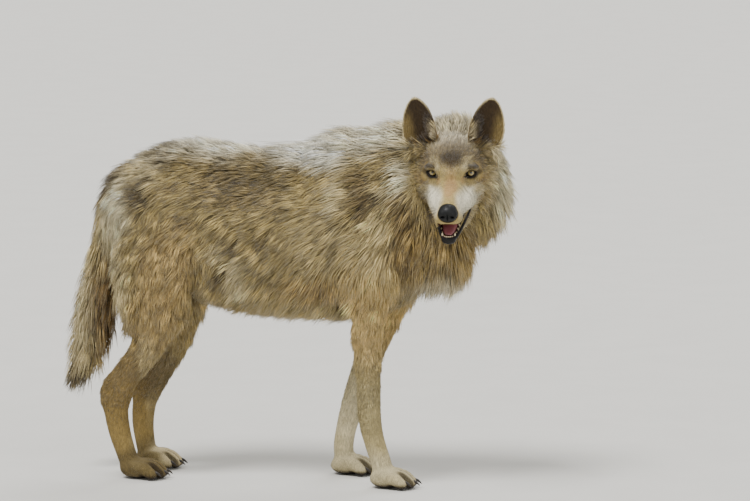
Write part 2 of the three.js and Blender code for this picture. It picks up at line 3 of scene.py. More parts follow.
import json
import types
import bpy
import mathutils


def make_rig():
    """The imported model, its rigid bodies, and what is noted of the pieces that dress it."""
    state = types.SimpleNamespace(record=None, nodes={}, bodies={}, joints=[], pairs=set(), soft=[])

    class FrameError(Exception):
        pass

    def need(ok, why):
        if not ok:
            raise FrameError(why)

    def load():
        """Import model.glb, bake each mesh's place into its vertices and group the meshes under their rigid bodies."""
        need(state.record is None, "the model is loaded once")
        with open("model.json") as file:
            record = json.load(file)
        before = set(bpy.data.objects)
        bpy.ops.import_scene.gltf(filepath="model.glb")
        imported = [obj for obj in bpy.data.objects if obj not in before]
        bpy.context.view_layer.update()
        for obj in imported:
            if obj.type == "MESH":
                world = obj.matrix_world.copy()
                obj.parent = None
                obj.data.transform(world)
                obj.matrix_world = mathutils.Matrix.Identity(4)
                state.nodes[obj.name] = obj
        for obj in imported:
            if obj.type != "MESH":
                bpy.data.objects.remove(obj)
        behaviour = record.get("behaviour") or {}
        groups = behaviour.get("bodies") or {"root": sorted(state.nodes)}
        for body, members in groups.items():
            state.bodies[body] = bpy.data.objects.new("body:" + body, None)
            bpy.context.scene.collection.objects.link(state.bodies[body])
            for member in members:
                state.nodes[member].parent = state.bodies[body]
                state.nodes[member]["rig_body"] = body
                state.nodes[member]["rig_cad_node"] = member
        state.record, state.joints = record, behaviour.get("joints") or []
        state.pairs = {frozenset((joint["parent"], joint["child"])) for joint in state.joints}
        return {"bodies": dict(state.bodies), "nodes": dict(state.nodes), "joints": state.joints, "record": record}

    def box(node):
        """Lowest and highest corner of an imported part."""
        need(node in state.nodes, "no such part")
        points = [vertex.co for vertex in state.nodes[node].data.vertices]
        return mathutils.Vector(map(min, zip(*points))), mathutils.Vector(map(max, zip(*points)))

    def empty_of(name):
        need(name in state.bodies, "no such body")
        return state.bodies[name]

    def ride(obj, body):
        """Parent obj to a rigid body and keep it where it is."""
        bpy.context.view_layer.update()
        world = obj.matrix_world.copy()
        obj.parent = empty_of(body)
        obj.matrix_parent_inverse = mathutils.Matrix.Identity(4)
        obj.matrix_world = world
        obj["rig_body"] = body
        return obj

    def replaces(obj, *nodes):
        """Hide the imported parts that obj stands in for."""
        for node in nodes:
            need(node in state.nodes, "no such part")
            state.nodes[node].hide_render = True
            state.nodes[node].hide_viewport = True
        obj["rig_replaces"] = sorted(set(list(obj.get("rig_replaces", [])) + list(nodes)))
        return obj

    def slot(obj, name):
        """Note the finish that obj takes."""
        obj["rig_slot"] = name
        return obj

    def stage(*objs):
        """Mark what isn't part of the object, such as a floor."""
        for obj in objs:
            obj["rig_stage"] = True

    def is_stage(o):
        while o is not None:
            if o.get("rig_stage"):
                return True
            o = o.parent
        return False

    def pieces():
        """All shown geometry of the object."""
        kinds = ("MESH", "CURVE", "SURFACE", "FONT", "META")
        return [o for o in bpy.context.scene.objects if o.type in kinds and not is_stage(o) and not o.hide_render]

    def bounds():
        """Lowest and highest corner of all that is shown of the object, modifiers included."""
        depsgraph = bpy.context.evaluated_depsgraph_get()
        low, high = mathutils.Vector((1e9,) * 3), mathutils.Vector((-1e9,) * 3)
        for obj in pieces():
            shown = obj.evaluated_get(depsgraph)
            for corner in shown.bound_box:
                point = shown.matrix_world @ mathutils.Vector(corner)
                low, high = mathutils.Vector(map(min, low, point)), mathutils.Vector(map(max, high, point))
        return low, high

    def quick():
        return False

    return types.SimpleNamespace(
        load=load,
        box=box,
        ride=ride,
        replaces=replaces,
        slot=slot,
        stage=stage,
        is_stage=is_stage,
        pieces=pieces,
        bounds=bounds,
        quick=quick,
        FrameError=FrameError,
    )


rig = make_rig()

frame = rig.load()

import json
import logging
import math
from collections.abc import Iterable, Sequence
from dataclasses import dataclass, field
from enum import Enum

import bpy
import numpy as np
from mathutils import Matrix, Vector

LOG = logging.getLogger("wolf")
CAD_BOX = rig.bounds()
MM = 0.001  # the wolf is measured in millimetres, from a point on the floor below its middle
FAR = 1e4
MARGIN = 12  # how far outside its box a shape is still measured
TINY = 1e-3  # keeps a division from failing at the middle of a shape
SEED = 7
LEFT = np.array([0, 1, 0])
Triple = tuple[float, float, float]
Rows = Sequence[tuple[float, ...]]


# ---------------------------------------------------------------- small tools


def srgb(red: int, green: int, blue: int) -> np.ndarray:
    """The linear colour of an 8-bit display colour."""
    c = np.array([red, green, blue]) / 255.0
    return np.where(c < 0.04045, c / 12.92, ((c + 0.055) / 1.055) ** 2.4)


def unit(v: np.ndarray) -> np.ndarray:
    """Vectors made one long."""
    return v / np.maximum(np.linalg.norm(v, axis=-1, keepdims=True), 1e-9)


def step_between(low: float, high: float, x: np.ndarray) -> np.ndarray:
    """A smooth step from 0 at low to 1 at high. low may be the larger of the two."""
    t = np.clip((x - low) / (high - low), 0, 1)
    return t * t * (3 - 2 * t)


def smooth_rows(rows: np.ndarray, between: int) -> np.ndarray:
    """A smooth run through rows of numbers.

    Args:
        rows: one row for each station.
        between: steps from one station to the next.

    Returns:
        The rows of the finer run, from the first station to the last.
    """
    p = np.vstack([2 * rows[0] - rows[1], rows, 2 * rows[-1] - rows[-2]])
    out = []
    for a, b, c, d in zip(p[:-3], p[1:-2], p[2:-1], p[3:]):
        square = 2 * a - 5 * b + 4 * c - d
        cube = 3 * b - a - 3 * c + d
        for t in np.arange(between) / between:
            out.append(0.5 * (2 * b + (c - a) * t + square * t**2 + cube * t**3))
    return np.array([*out, rows[-1]])


def mixed(cells: np.ndarray, salt: int | np.ndarray) -> np.ndarray:
    """A well mixed whole number for each cell of a grid."""
    x, y, z = (cells * np.array([73856093, 19349663, 83492791])).T
    return x ^ y ^ z ^ salt


def noise(p: np.ndarray, scale: float, seed: int) -> np.ndarray:
    """Smooth random values from -1 to 1 at points.

    Args:
        p: points, one to a row.
        scale: size of a patch, in the unit of the points.
        seed: picks the pattern.

    Returns:
        One value for each point.
    """
    q = p / scale + 57.3 * seed
    cell = np.floor(q).astype(np.int64)
    f = q - cell
    f = f * f * (3 - 2 * f)
    total = np.zeros(len(p))
    for corner in np.ndindex(2, 2, 2):
        code = mixed(cell + corner, seed * 2654435761)
        value = ((code * 1103515245 + 12345) >> 8 & 0xFFFF) / 32767.5 - 1
        weight = np.prod(np.where(corner, f, 1 - f), axis=1)
        total += weight * value
    return total


# ---------------------------------------------------------------- shapes of the field


@dataclass(frozen=True)
class Space:
    """A frame of its own for some shapes: origin, and axes in the columns of turn."""

    origin: np.ndarray = field(default_factory=lambda: np.zeros(3))
    turn: np.ndarray = field(default_factory=lambda: np.eye(3))
    mirrored: bool = False

    def local(self, p: np.ndarray) -> np.ndarray:
        """Points in this frame. A mirrored frame folds its left and right sides together."""
        q = (p - self.origin) @ self.turn
        if self.mirrored:
            q[:, 1] = np.abs(q[:, 1])
        return q

    def place(self, p: np.ndarray) -> np.ndarray:
        """Points of this frame in the body's."""
        return np.asarray(p, float) @ self.turn.T + self.origin

    def limits(self, low: np.ndarray, high: np.ndarray) -> tuple[np.ndarray, np.ndarray]:
        """The body-frame box round a box of this frame, both sides of it where the frame is mirrored."""
        if self.mirrored:
            low = np.array([low[0], -high[1], low[2]])
        ends = (low, high)
        corners = self.place([[ends[end][k] for k, end in enumerate(c)] for c in np.ndindex(2, 2, 2)])
        return corners.min(0), corners.max(0)


BODY = Space()
BOTH_SIDES = Space(mirrored=True)


class Shape:
    """Something with a distance to its surface, negative inside, and a box that holds it."""

    low: np.ndarray
    high: np.ndarray

    def distance(self, p: np.ndarray) -> np.ndarray:
        """Distances of body-frame points."""
        raise NotImplementedError

    def near(self, p: np.ndarray, margin: float) -> np.ndarray:
        """Which points lie in the shape's box, widened by a margin."""
        return ((p > self.low - margin) & (p < self.high + margin)).all(axis=1)


class Oval(Shape):
    """An ellipsoid."""

    def __init__(self, at: Sequence[float], size: Sequence[float], space: Space = BODY) -> None:
        """Args: at is the centre, size the three half sizes, and space the frame of both."""
        self.at = np.array(at, float)
        self.size = np.array(size, float)
        self.space = space
        self.low, self.high = space.limits(self.at - self.size, self.at + self.size)

    def distance(self, p: np.ndarray) -> np.ndarray:
        """Distances of body-frame points, measured along the line from the centre."""
        q = self.space.local(p) - self.at
        k = np.linalg.norm(q / self.size, axis=1)
        return np.linalg.norm(q, axis=1) * (1 - 1 / np.maximum(k, TINY))


class Tube(Shape):
    """An oval tube through sections."""

    def __init__(
        self, rows: Iterable[Sequence[float]], space: Space = BODY, side: Triple = (0, 1, 0), between: int = 3
    ) -> None:
        """Lays out the rings.

        Args:
            rows: centre x, y, z, half height and half width of each section.
            space: the frame of the sections.
            side: the direction of the width.
            between: rings from one section to the next.
        """
        self.rings = smooth_rows(np.array(list(rows), float), between)
        self.space = space
        self.side = np.array(side, float)
        reach = self.rings[:, 3:].max(axis=1)[:, None]
        centres = self.rings[:, :3]
        self.low, self.high = space.limits((centres - reach).min(0), (centres + reach).max(0))

    def measure(self, p: np.ndarray) -> tuple[np.ndarray, np.ndarray]:
        """Distances of body-frame points, and how far along the tube each lies, from 0 to 1."""
        q0 = self.space.local(p).astype(np.float32)
        best = np.full(len(p), FAR, np.float32)
        along = np.zeros(len(p), np.float32)
        last = len(self.rings) - 1
        for i, (a, b) in enumerate(zip(self.rings[:-1], self.rings[1:])):
            u = (b[:3] - a[:3]).astype(np.float32)
            q = q0 - a[:3].astype(np.float32)
            t = np.clip(q @ u / max(float(u @ u), 1e-6), 0, 1)
            q = q - t[:, None] * u
            across = q @ self.side.astype(np.float32)
            square = np.einsum("ij,ij->i", q, q)
            rest = np.maximum(square - across**2, 0)
            k = np.sqrt((across / (a[4] + (b[4] - a[4]) * t)) ** 2 + rest / (a[3] + (b[3] - a[3]) * t) ** 2)
            d = np.sqrt(square) * (1 - 1 / np.maximum(k, TINY))
            closer = d < best
            best[closer] = d[closer]
            along[closer] = (i + t[closer]) / last
        return best, along

    def distance(self, p: np.ndarray) -> np.ndarray:
        """Distances of body-frame points."""
        return self.measure(p)[0]


class Above(Shape):
    """All that lies over a level."""

    def __init__(self, level: float) -> None:
        """Args: level is the height of the cut."""
        self.level = level
        self.low = np.array([-FAR, -FAR, -FAR])
        self.high = np.array([FAR, FAR, level + 15])

    def distance(self, p: np.ndarray) -> np.ndarray:
        """Distances of body-frame points."""
        return self.level - p[:, 2]


class Way(Enum):
    """How a shape joins the field."""

    ADD = "add"
    CARVE = "carve"
    KEEP = "keep"


@dataclass(frozen=True)
class Step:
    """One shape, how it joins the field, and over what width the edge is rounded."""

    shape: Shape
    soft: float
    way: Way = Way.ADD

    def apply(self, field_so_far: np.ndarray, distance: np.ndarray) -> np.ndarray:
        """The field after this step."""
        if self.way is Way.ADD:
            return self.blend(field_so_far, distance)
        if self.way is Way.CARVE:
            return -self.blend(-field_so_far, distance)
        return -self.blend(-field_so_far, -distance)

    def blend(self, a: np.ndarray, b: np.ndarray) -> np.ndarray:
        """The lower of two fields, with a rounded edge."""
        h = np.clip(0.5 + 0.5 * (b - a) / self.soft, 0, 1)
        return b + (a - b) * h - self.soft * h * (1 - h)


class Field:
    """The distance to the skin of the whole wolf, or of a piece of it."""

    def __init__(self, steps: Sequence[Step]) -> None:
        """Args: steps are the shapes in the order in which they join."""
        self.steps = list(steps)

    def distance(self, p: np.ndarray) -> np.ndarray:
        """Distances of body-frame points."""
        d = np.full(len(p), FAR)
        for step in self.steps:
            near = step.shape.near(p, step.soft + MARGIN)
            if near.any():
                d[near] = step.apply(d[near], step.shape.distance(p[near]))
        return d


def graded(*bands: Sequence[float]) -> np.ndarray:
    """Grid lines over bands that meet, each given as its start, end and spacing."""
    lines = [np.linspace(a, b, max(2, round((b - a) / gap) + 1))[:-1] for a, b, gap in bands]
    return np.concatenate([*lines, [bands[-1][1]]])


class Net:
    """Turns a field into a mesh: one vertex in each cell of a grid that the surface crosses."""

    def __init__(self, surface: Field, x: np.ndarray, y: np.ndarray, z: np.ndarray) -> None:
        """Args: surface is the field, and x, y and z are the grid's lines."""
        self.surface = surface
        self.axes = (x, y, z)

    def values(self) -> np.ndarray:
        """The field at each grid point. Each shape is measured in its own box only."""
        grid = np.full([len(a) for a in self.axes], FAR, np.float32)
        for step in self.surface.steps:
            margin = step.soft + MARGIN
            spans = [
                slice(np.searchsorted(a, lo - margin), np.searchsorted(a, hi + margin))
                for a, lo, hi in zip(self.axes, step.shape.low, step.shape.high)
            ]
            block = grid[tuple(spans)]
            if not block.size:
                continue
            lines = [a[s] for a, s in zip(self.axes, spans)]
            p = np.stack(np.meshgrid(*lines, indexing="ij"), -1).reshape(-1, 3)
            grid[tuple(spans)] = step.apply(block.ravel(), step.shape.distance(p)).reshape(block.shape)
        return grid

    def build(self, passes: int = 4) -> tuple[np.ndarray, np.ndarray]:
        """Meshes the field.

        Args:
            passes: times that the vertices are put on the surface, evened out in between.

        Returns:
            Vertices, and quads as rows of four indices.
        """
        v = self.values()
        inside = v < 0
        count = np.zeros([n - 1 for n in v.shape], np.int8)
        corners = list(np.ndindex(2, 2, 2))
        for c in corners:
            count += inside[tuple(slice(o, o + n) for o, n in zip(c, count.shape))]
        active = (count > 0) & (count < 8)
        index = np.full(count.shape, -1, np.int32)
        index[active] = np.arange(active.sum())
        cells = np.argwhere(active)
        spot = np.zeros((len(cells), 3))
        hits = np.zeros(len(cells))
        for a in corners:
            for axis in range(3):
                if a[axis]:
                    continue
                b = tuple(1 if k == axis else a[k] for k in range(3))
                va = v[tuple((cells + a).T)]
                vb = v[tuple((cells + b).T)]
                cut = (va < 0) != (vb < 0)
                t = np.where(cut, va / np.where(cut, va - vb, 1), 0)
                place = np.tile(np.array(a, float), (len(cells), 1))
                place[:, axis] = t
                spot += place * cut[:, None]
                hits += cut
        spot /= hits[:, None]
        points = np.empty_like(spot)
        for axis, lines in enumerate(self.axes):
            i = cells[:, axis]
            points[:, axis] = lines[i] + (lines[i + 1] - lines[i]) * spot[:, axis]
        quads = self.quads(inside, index)
        for i in range(passes):
            if i:
                points = self.even(points, quads)
            away = self.surface.distance(points)
            points = points - self.normals(points, quads) * np.clip(0.9 * away, -2, 2)[:, None]
        return points, quads

    @staticmethod
    def normals(points: np.ndarray, quads: np.ndarray) -> np.ndarray:
        """The mesh's normal at each vertex."""
        a, b, c, d = (points[quads[:, k]] for k in range(4))
        across = np.cross(c - a, d - b)
        total = np.zeros_like(points)
        for corner in range(4):
            for k in range(3):
                total[:, k] += np.bincount(quads[:, corner], across[:, k], len(points))
        return unit(total)

    def quads(self, inside: np.ndarray, index: np.ndarray) -> np.ndarray:
        """The quads across every grid edge that the surface crosses."""
        out = []
        for axis, (u, w) in enumerate(((1, 2), (2, 0), (0, 1))):
            here = [slice(1, n - 1) for n in inside.shape]
            here[axis] = slice(0, inside.shape[axis] - 1)
            there = list(here)
            there[axis] = slice(1, inside.shape[axis])
            a = inside[tuple(here)]
            flips = np.argwhere(a != inside[tuple(there)])
            if not len(flips):
                continue
            start = [0 if k == axis else 1 for k in range(3)]
            at = flips + start
            ring = []
            for du, dw in ((0, 0), (1, 0), (1, 1), (0, 1)):
                cell = at.copy()
                cell[:, u] -= du
                cell[:, w] -= dw
                ring.append(index[tuple(cell.T)])
            quad = np.stack(ring, 1)
            out_first = a[tuple(flips.T)]
            quad[~out_first] = quad[~out_first][:, ::-1]
            out.append(quad)
        return np.concatenate(out)

    @staticmethod
    def even(points: np.ndarray, quads: np.ndarray) -> np.ndarray:
        """Vertices moved half way to the middle of their neighbours."""
        total = np.zeros_like(points)
        count = np.zeros(len(points))
        for a, b in ((0, 1), (1, 2), (2, 3), (3, 0)):
            for i, j in ((a, b), (b, a)):
                for k in range(3):
                    total[:, k] += np.bincount(quads[:, i], points[quads[:, j], k], len(points))
                count += np.bincount(quads[:, i], minlength=len(points))
        return 0.5 * points + 0.5 * total / np.maximum(count, 1)[:, None]


# ---------------------------------------------------------------- the coat's guides and marks


@dataclass(frozen=True)
class Guide:
    """How the coat lies near one place: the hair's way, its length and its lift in degrees."""

    at: Triple
    way: Triple
    hair: float
    lift: float
    reach: float = 60


@dataclass(frozen=True)
class Mark:
    """A patch of colour with soft, ragged edges. ticks is its share of dark tips, where it sets that."""

    name: str
    at: Triple
    size: Triple
    colour: tuple[int, int, int]
    strength: float = 1.0
    ticks: float | None = None
    mirrored: bool = True
    soft: float = 0.45


@dataclass(frozen=True)
class Section:
    """An oval section of a limb's outline, and the coat's depth over the skin there."""

    at: Triple
    high: float
    wide: float
    coat: float
    hair: float = 10
    lift: float = 18

    def row(self) -> tuple[float, ...]:
        """The skin's section, as a tube takes it."""
        return (*self.at, self.high - self.coat, self.wide - self.coat)


class Limb:
    """A part of the body that is a tube: its tube and the guides along it."""

    tube: Tube
    sections: Sequence[Section]
    joint: float = 25

    def steps(self) -> list[Step]:
        """How the limb joins the field."""
        return [Step(self.tube, self.joint)]

    def guides(self) -> list[Guide]:
        """Guides down the limb, four round each section."""
        out = []
        centres = np.array([s.at for s in self.sections])
        ways = unit(np.gradient(centres, axis=0))
        for s, way in zip(self.sections, ways):
            ahead = unit(np.cross(LEFT, way))
            for out_way, size in ((ahead, s.high), (-ahead, s.high), (LEFT, s.wide), (-LEFT, s.wide)):
                at = np.array(s.at) + out_way * (size - s.coat)
                out.append(Guide(tuple(at), tuple(way), s.hair, s.lift, 0.8 * min(s.high, s.wide) + 6))
        return out


# ---------------------------------------------------------------- trunk, neck and tail


@dataclass(frozen=True)
class TrunkSection:
    """The trunk's outline at one station. coat and hair each give the top, the side and the underside."""

    x: float
    top: float
    bottom: float
    half: float
    coat: Triple
    hair: Triple

    def ends(self) -> tuple[float, float]:
        """The skin's top and underside."""
        return self.top - self.coat[0], self.bottom + self.coat[2]


@dataclass
class Trunk(Limb):
    """The trunk, from the rump to the breast, with the shoulders."""

    stations: tuple[TrunkSection, ...] = (
        TrunkSection(-245, 716, 455, 96, (18, 18, 14), (50, 44, 40)),
        TrunkSection(-160, 750, 428, 112, (18, 20, 16), (54, 46, 48)),
        TrunkSection(-70, 745, 374, 124, (19, 23, 24), (54, 48, 62)),
        TrunkSection(20, 737, 356, 136, (21, 25, 26), (56, 50, 66)),
        TrunkSection(110, 752, 350, 143, (25, 27, 26), (62, 54, 66)),
        TrunkSection(200, 778, 354, 140, (32, 29, 26), (76, 62, 62)),
        TrunkSection(268, 793, 386, 124, (38, 30, 30), (84, 68, 60)),
    )
    shoulder_from: Triple = (205, 66, 690)
    shoulder_to: Triple = (262, 90, 480)

    def __post_init__(self) -> None:
        """Builds the tubes."""
        rows = []
        for s in self.stations:
            top, bottom = s.ends()
            rows.append((s.x, 0, (top + bottom) / 2, (top - bottom) / 2, s.half - s.coat[1]))
        self.tube = Tube(rows)
        self.shoulder = Tube(
            [(*self.shoulder_from, 78 - 26, 52 - 22), (*self.shoulder_to, 74 - 18, 46 - 15)], BOTH_SIDES
        )

    def steps(self) -> list[Step]:
        """The trunk and both shoulders."""
        return [Step(self.tube, 10), Step(self.shoulder, 44)]

    def guides(self) -> list[Guide]:
        """The back's hair lies to the rear, the sides' to the rear and down."""
        out = []
        for s in self.stations:
            top, bottom = s.ends()
            lift = 38 + 0.12 * max(0, s.hair[0] - 50)
            out.append(Guide((s.x, 0, top), (-1, 0, 0.05), s.hair[0] * 1.1, lift))
            for y in (-s.half, s.half):
                upper = (s.x, 0.8 * y, 0.75 * top + 0.25 * bottom)
                out.append(Guide(upper, (-0.95, 0, -0.3), s.hair[1], 20))
                out.append(Guide((s.x, y, 0.5 * (top + bottom)), (-0.82, 0, -0.57), s.hair[1], 19))
                out.append(Guide((s.x, 0.7 * y, bottom + 25), (-0.6, 0, -0.8), s.hair[2], 20, 50))
            out.append(Guide((s.x, 0, bottom), (-0.9, 0, -0.25), s.hair[2] * 0.8, 28, 50))
        return out


@dataclass
class Neck(Limb):
    """The neck, which bends to the right, and the ruff round the back of the head."""

    sections: tuple[Section, ...] = (
        Section((262, 0, 630), 164, 126, 40, 84, 24),
        Section((335, 8, 654), 150, 110, 46, 88, 27),
        Section((400, 26, 668), 145, 92, 46, 90, 30),
    )
    ruff: Oval = field(default_factory=lambda: Oval((451, 16, 664), (89, 46, 108)))
    throat: Oval = field(default_factory=lambda: Oval((416, 4, 528), (50, 52, 74)))
    crest: Oval = field(default_factory=lambda: Oval((326, 8, 730), (66, 44, 52)))
    nape: Oval = field(default_factory=lambda: Oval((432, 14, 741), (60, 48, 56)))

    def __post_init__(self) -> None:
        """Builds the neck's tube."""
        self.tube = Tube(s.row() for s in self.sections)

    def steps(self) -> list[Step]:
        """The neck, the throat, the crest, the nape and the flesh under the ruff."""
        ovals = ((self.throat, 40), (self.crest, 34), (self.nape, 30), (self.ruff, 36))
        return [Step(self.tube, 40), *(Step(oval, joint) for oval, joint in ovals)]

    def guides(self) -> list[Guide]:
        """Hair leads away from the face: back on the near side, and outwards and down beyond it."""
        return [
            Guide((300, 0, 790), (-1, 0, 0.02), 78, 24, 70),
            Guide((370, 10, 805), (-0.95, 0.1, 0.3), 62, 30, 60),
            Guide((405, 10, 800), (-0.5, 0.2, 0.8), 50, 30, 40),
            Guide((446, 0, 795), (-0.1, 0.2, 0.97), 46, 34, 46),
            Guide((330, -95, 700), (-0.88, 0, -0.48), 74, 20, 60),
            Guide((330, -100, 620), (-0.7, 0, -0.72), 76, 20, 60),
            Guide((340, -90, 540), (-0.4, 0, -0.92), 72, 20, 60),
            Guide((385, -80, 700), (-0.75, 0.2, -0.6), 58, 22, 40),
            Guide((385, -80, 620), (-0.5, 0, -0.87), 64, 22, 45),
            Guide((390, -70, 560), (-0.25, -0.1, -0.96), 66, 22, 50),
            Guide((330, 100, 680), (-0.8, 0.1, -0.55), 76, 22, 70),
            Guide((340, 90, 560), (-0.4, 0.1, -0.9), 74, 22, 70),
            Guide((420, 60, 740), (0.1, 0.8, -0.6), 66, 24, 50),
            Guide((420, 70, 620), (0, 0.5, -0.86), 74, 26, 60),
            Guide((500, 5, 760), (0.4, 0.5, -0.6), 44, 20, 34),
            Guide((512, 10, 720), (0.5, 0.3, -0.85), 52, 26, 38),
            Guide((518, 10, 675), (0.5, 0.2, -0.9), 62, 30, 40),
            Guide((505, 5, 620), (0.35, 0.1, -0.95), 66, 28, 45),
            Guide((470, 0, 575), (0.2, 0, -0.97), 66, 24, 45),
            Guide((420, 0, 520), (0.05, -0.05, -0.99), 66, 22, 55),
            Guide((370, 0, 460), (-0.15, 0, -0.98), 66, 22, 55),
            Guide((320, 0, 410), (-0.5, 0, -0.86), 58, 22, 55),
        ]


@dataclass
class Tail(Limb):
    """The tail, which hangs straight down."""

    joint = 26
    sections: tuple[Section, ...] = (
        Section((-316, 0, 606), 54, 50, 26, 62, 18),
        Section((-347, 0, 520), 58, 50, 28, 74, 21),
        Section((-371, 0, 420), 60, 48, 29, 78, 24),
        Section((-387, 0, 335), 56, 43, 26, 76, 24),
        Section((-405, 0, 268), 45, 35, 22, 70, 20),
        Section((-424, 0, 225), 25, 23, 15, 56, 13),
    )

    def __post_init__(self) -> None:
        """Builds the tube."""
        self.tube = Tube(s.row() for s in self.sections)


# ---------------------------------------------------------------- legs


class End(Enum):
    """Which pair a leg belongs to."""

    FORE = "fore"
    HIND = "hind"


@dataclass
class Leg(Limb):
    """A leg with its paw: x is where it stands at each level."""

    name: str
    end: End
    side: int
    x: tuple[float, ...]
    paw_x: float
    joint: float = 22
    pad: Triple = (38, 32, 20)
    spreads: tuple[float, ...] = (-31, -11, 11, 31)

    def __post_init__(self) -> None:
        """Builds the sections, the tube and the toes."""
        if self.end is End.FORE:
            z = (470, 388, 322, 237, 150, 102, 62, 32)
            high = (70, 45, 37, 31, 29, 26, 25, 25)
            wide = (44, 33, 28, 24, 25, 24, 25, 27)
            y = (92, 84, 80, 78, 77, 76, 76, 76)
            coat = (20, 12, 8, 5.5, 4.5, 3.5, 3, 3)
            hair = (52, 34, 24, 16, 12, 9, 7, 5.5)
            lift = (20, 18, 16, 13, 12, 11, 11, 10)
        else:
            z = (590, 480, 400, 336, 285, 230, 190, 150, 105, 65, 32)
            high = (104, 104, 92, 56, 39, 36, 41, 32, 28, 25, 24)
            wide = (58, 58, 50, 38, 30, 25, 25, 22, 22, 24, 27)
            y = (48, 64, 72, 74, 74, 73, 72, 71, 70, 70, 70)
            coat = (22, 20, 18, 13, 8, 6, 5, 4.5, 3.5, 3, 3)
            hair = (48, 46, 44, 34, 24, 18, 14, 11, 9, 7, 5.5)
            lift = (19, 18, 18, 17, 15, 13, 12, 12, 11, 11, 10)
        self.sections = tuple(
            Section((at_x, self.side * at_y, at_z), *sizes)
            for at_x, at_y, at_z, *sizes in zip(self.x, y, z, high, wide, coat, hair, lift)
        )
        self.tube = Tube(s.row() for s in self.sections)
        self.foot_y = self.side * y[-1]
        self.toes = [self.toe(spread) for spread in self.spreads]

    def toe_x(self, spread: float) -> float:
        """Where a toe starts: the outer ones stand further back."""
        return self.paw_x - (15 if abs(spread) > 20 else 0)

    def toe(self, spread: float) -> Tube:
        """One toe, from the pad to its tip."""
        x = self.toe_x(spread)
        rows = [
            (x + 22, self.foot_y + spread * 0.75, 29, 13, 11),
            (x + 48, self.foot_y + spread * 0.97, 26, 14, 11),
            (x + 66, self.foot_y + spread * 1.02, 14, 12, 10),
        ]
        return Tube(rows)

    def steps(self) -> list[Step]:
        """The leg, the pad and the toes."""
        pad = Oval((self.paw_x + 14, self.foot_y, 20), self.pad)
        knuckles = Oval((self.paw_x + 28, self.foot_y, 27), (27, 29, 14))
        out = [Step(self.tube, self.joint), Step(pad, 16), Step(knuckles, 14)]
        return out + [Step(toe, 2.0) for toe in self.toes]

    def guides(self) -> list[Guide]:
        """Down the leg and forward over the paw. The rear of the thigh has longer hair."""
        out = Limb.guides(self)
        for dx, dz, hair in ((10, 52, 6), (40, 45, 5), (66, 30, 3.6), (30, 8, 4)):
            for dy in (-30, 0, 30):
                out.append(Guide((self.paw_x + dx, self.foot_y + dy, dz), (0.85, 0, -0.5), hair, 14, 16))
        out.append(Guide((self.paw_x - 25, self.foot_y, 25), (0.1, 0, -1), 8, 14, 16))
        if self.end is End.HIND:
            for dx, z, hair in ((-78, 480, 66), (-72, 420, 68), (-52, 370, 60), (-34, 322, 44)):
                at = (self.x[2] + dx, self.side * 70, z)
                out.append(Guide(at, (-0.42, 0, -0.9), hair, 22, 42))
            out.append(Guide((self.x[1], self.side * 112, 500), (-0.5, 0, -0.86), 44, 16, 60))
            out.append(Guide((self.x[2] + 30, self.side * 110, 420), (-0.3, 0, -0.95), 38, 14, 55))
        else:
            out.append(Guide((self.x[2] - 30, self.side * 80, 340), (-0.3, 0, -0.95), 34, 22, 26))
            out.append(Guide((self.x[4] - 26, self.side * 77, 170), (-0.25, 0, -0.97), 16, 20, 18))
        return out

    def between_toes(self, p: np.ndarray) -> np.ndarray:
        """How far into the gaps between the toes each point lies, from 0 to 1."""
        ahead = p[:, 0] - self.paw_x
        gaps = np.array([(a + b) / 2 for a, b in zip(self.spreads, self.spreads[1:])])
        across = (p[:, 1] - self.foot_y) / np.interp(ahead, (22, 60), (0.75, 1))
        gap = np.abs(across[:, None] - gaps).min(1)
        on_foot = step_between(32, 48, ahead) * step_between(52, 42, p[:, 2])
        on_foot *= (np.abs(across) < 50) & (ahead < 90)
        return step_between(6.5, 2.0, gap) * on_foot

    def claw_paths(self) -> list[Rows]:
        """The centre line and thickness of each claw."""
        rows = ((69, 18, 3.9), (75, 18.5, 3.6), (80, 17, 2.9), (85, 13.5, 1.9), (89, 9.5, 0.5))
        return [
            [(self.toe_x(spread) + dx, self.foot_y + spread, z, r) for dx, z, r in rows]
            for spread in self.spreads
        ]


HIND_RIGHT_X = (-235, -230, -227, -231, -251, -293, -316, -317, -310, -298, -286)
HIND_LEFT_X = (-235, -228, -224, -213, -221, -252, -281, -290, -294, -290, -284)
LEGS = (
    Leg("foreleg_right", End.FORE, -1, (262, 258, 256, 258, 261, 271, 284, 292), 286),
    Leg("foreleg_left", End.FORE, 1, (300, 275, 249, 213, 187, 174, 168, 172), 164),
    Leg("hindleg_right", End.HIND, -1, HIND_RIGHT_X, -280, 30),
    Leg("hindleg_left", End.HIND, 1, HIND_LEFT_X, -282, 30),
)


# ---------------------------------------------------------------- head


def head_space(mirrored: bool) -> Space:
    """The head's frame: f forward, l to its left, t up, from the point between the pupils."""
    turn = Matrix.Rotation(math.radians(-83), 3, "Z") @ Matrix.Rotation(math.radians(8.5), 3, "Y")
    return Space(np.array([448.0, -110.0, 699.5]), np.array(turn), mirrored)


HEAD = head_space(False)
FACE = head_space(True)  # the head with its two sides folded together


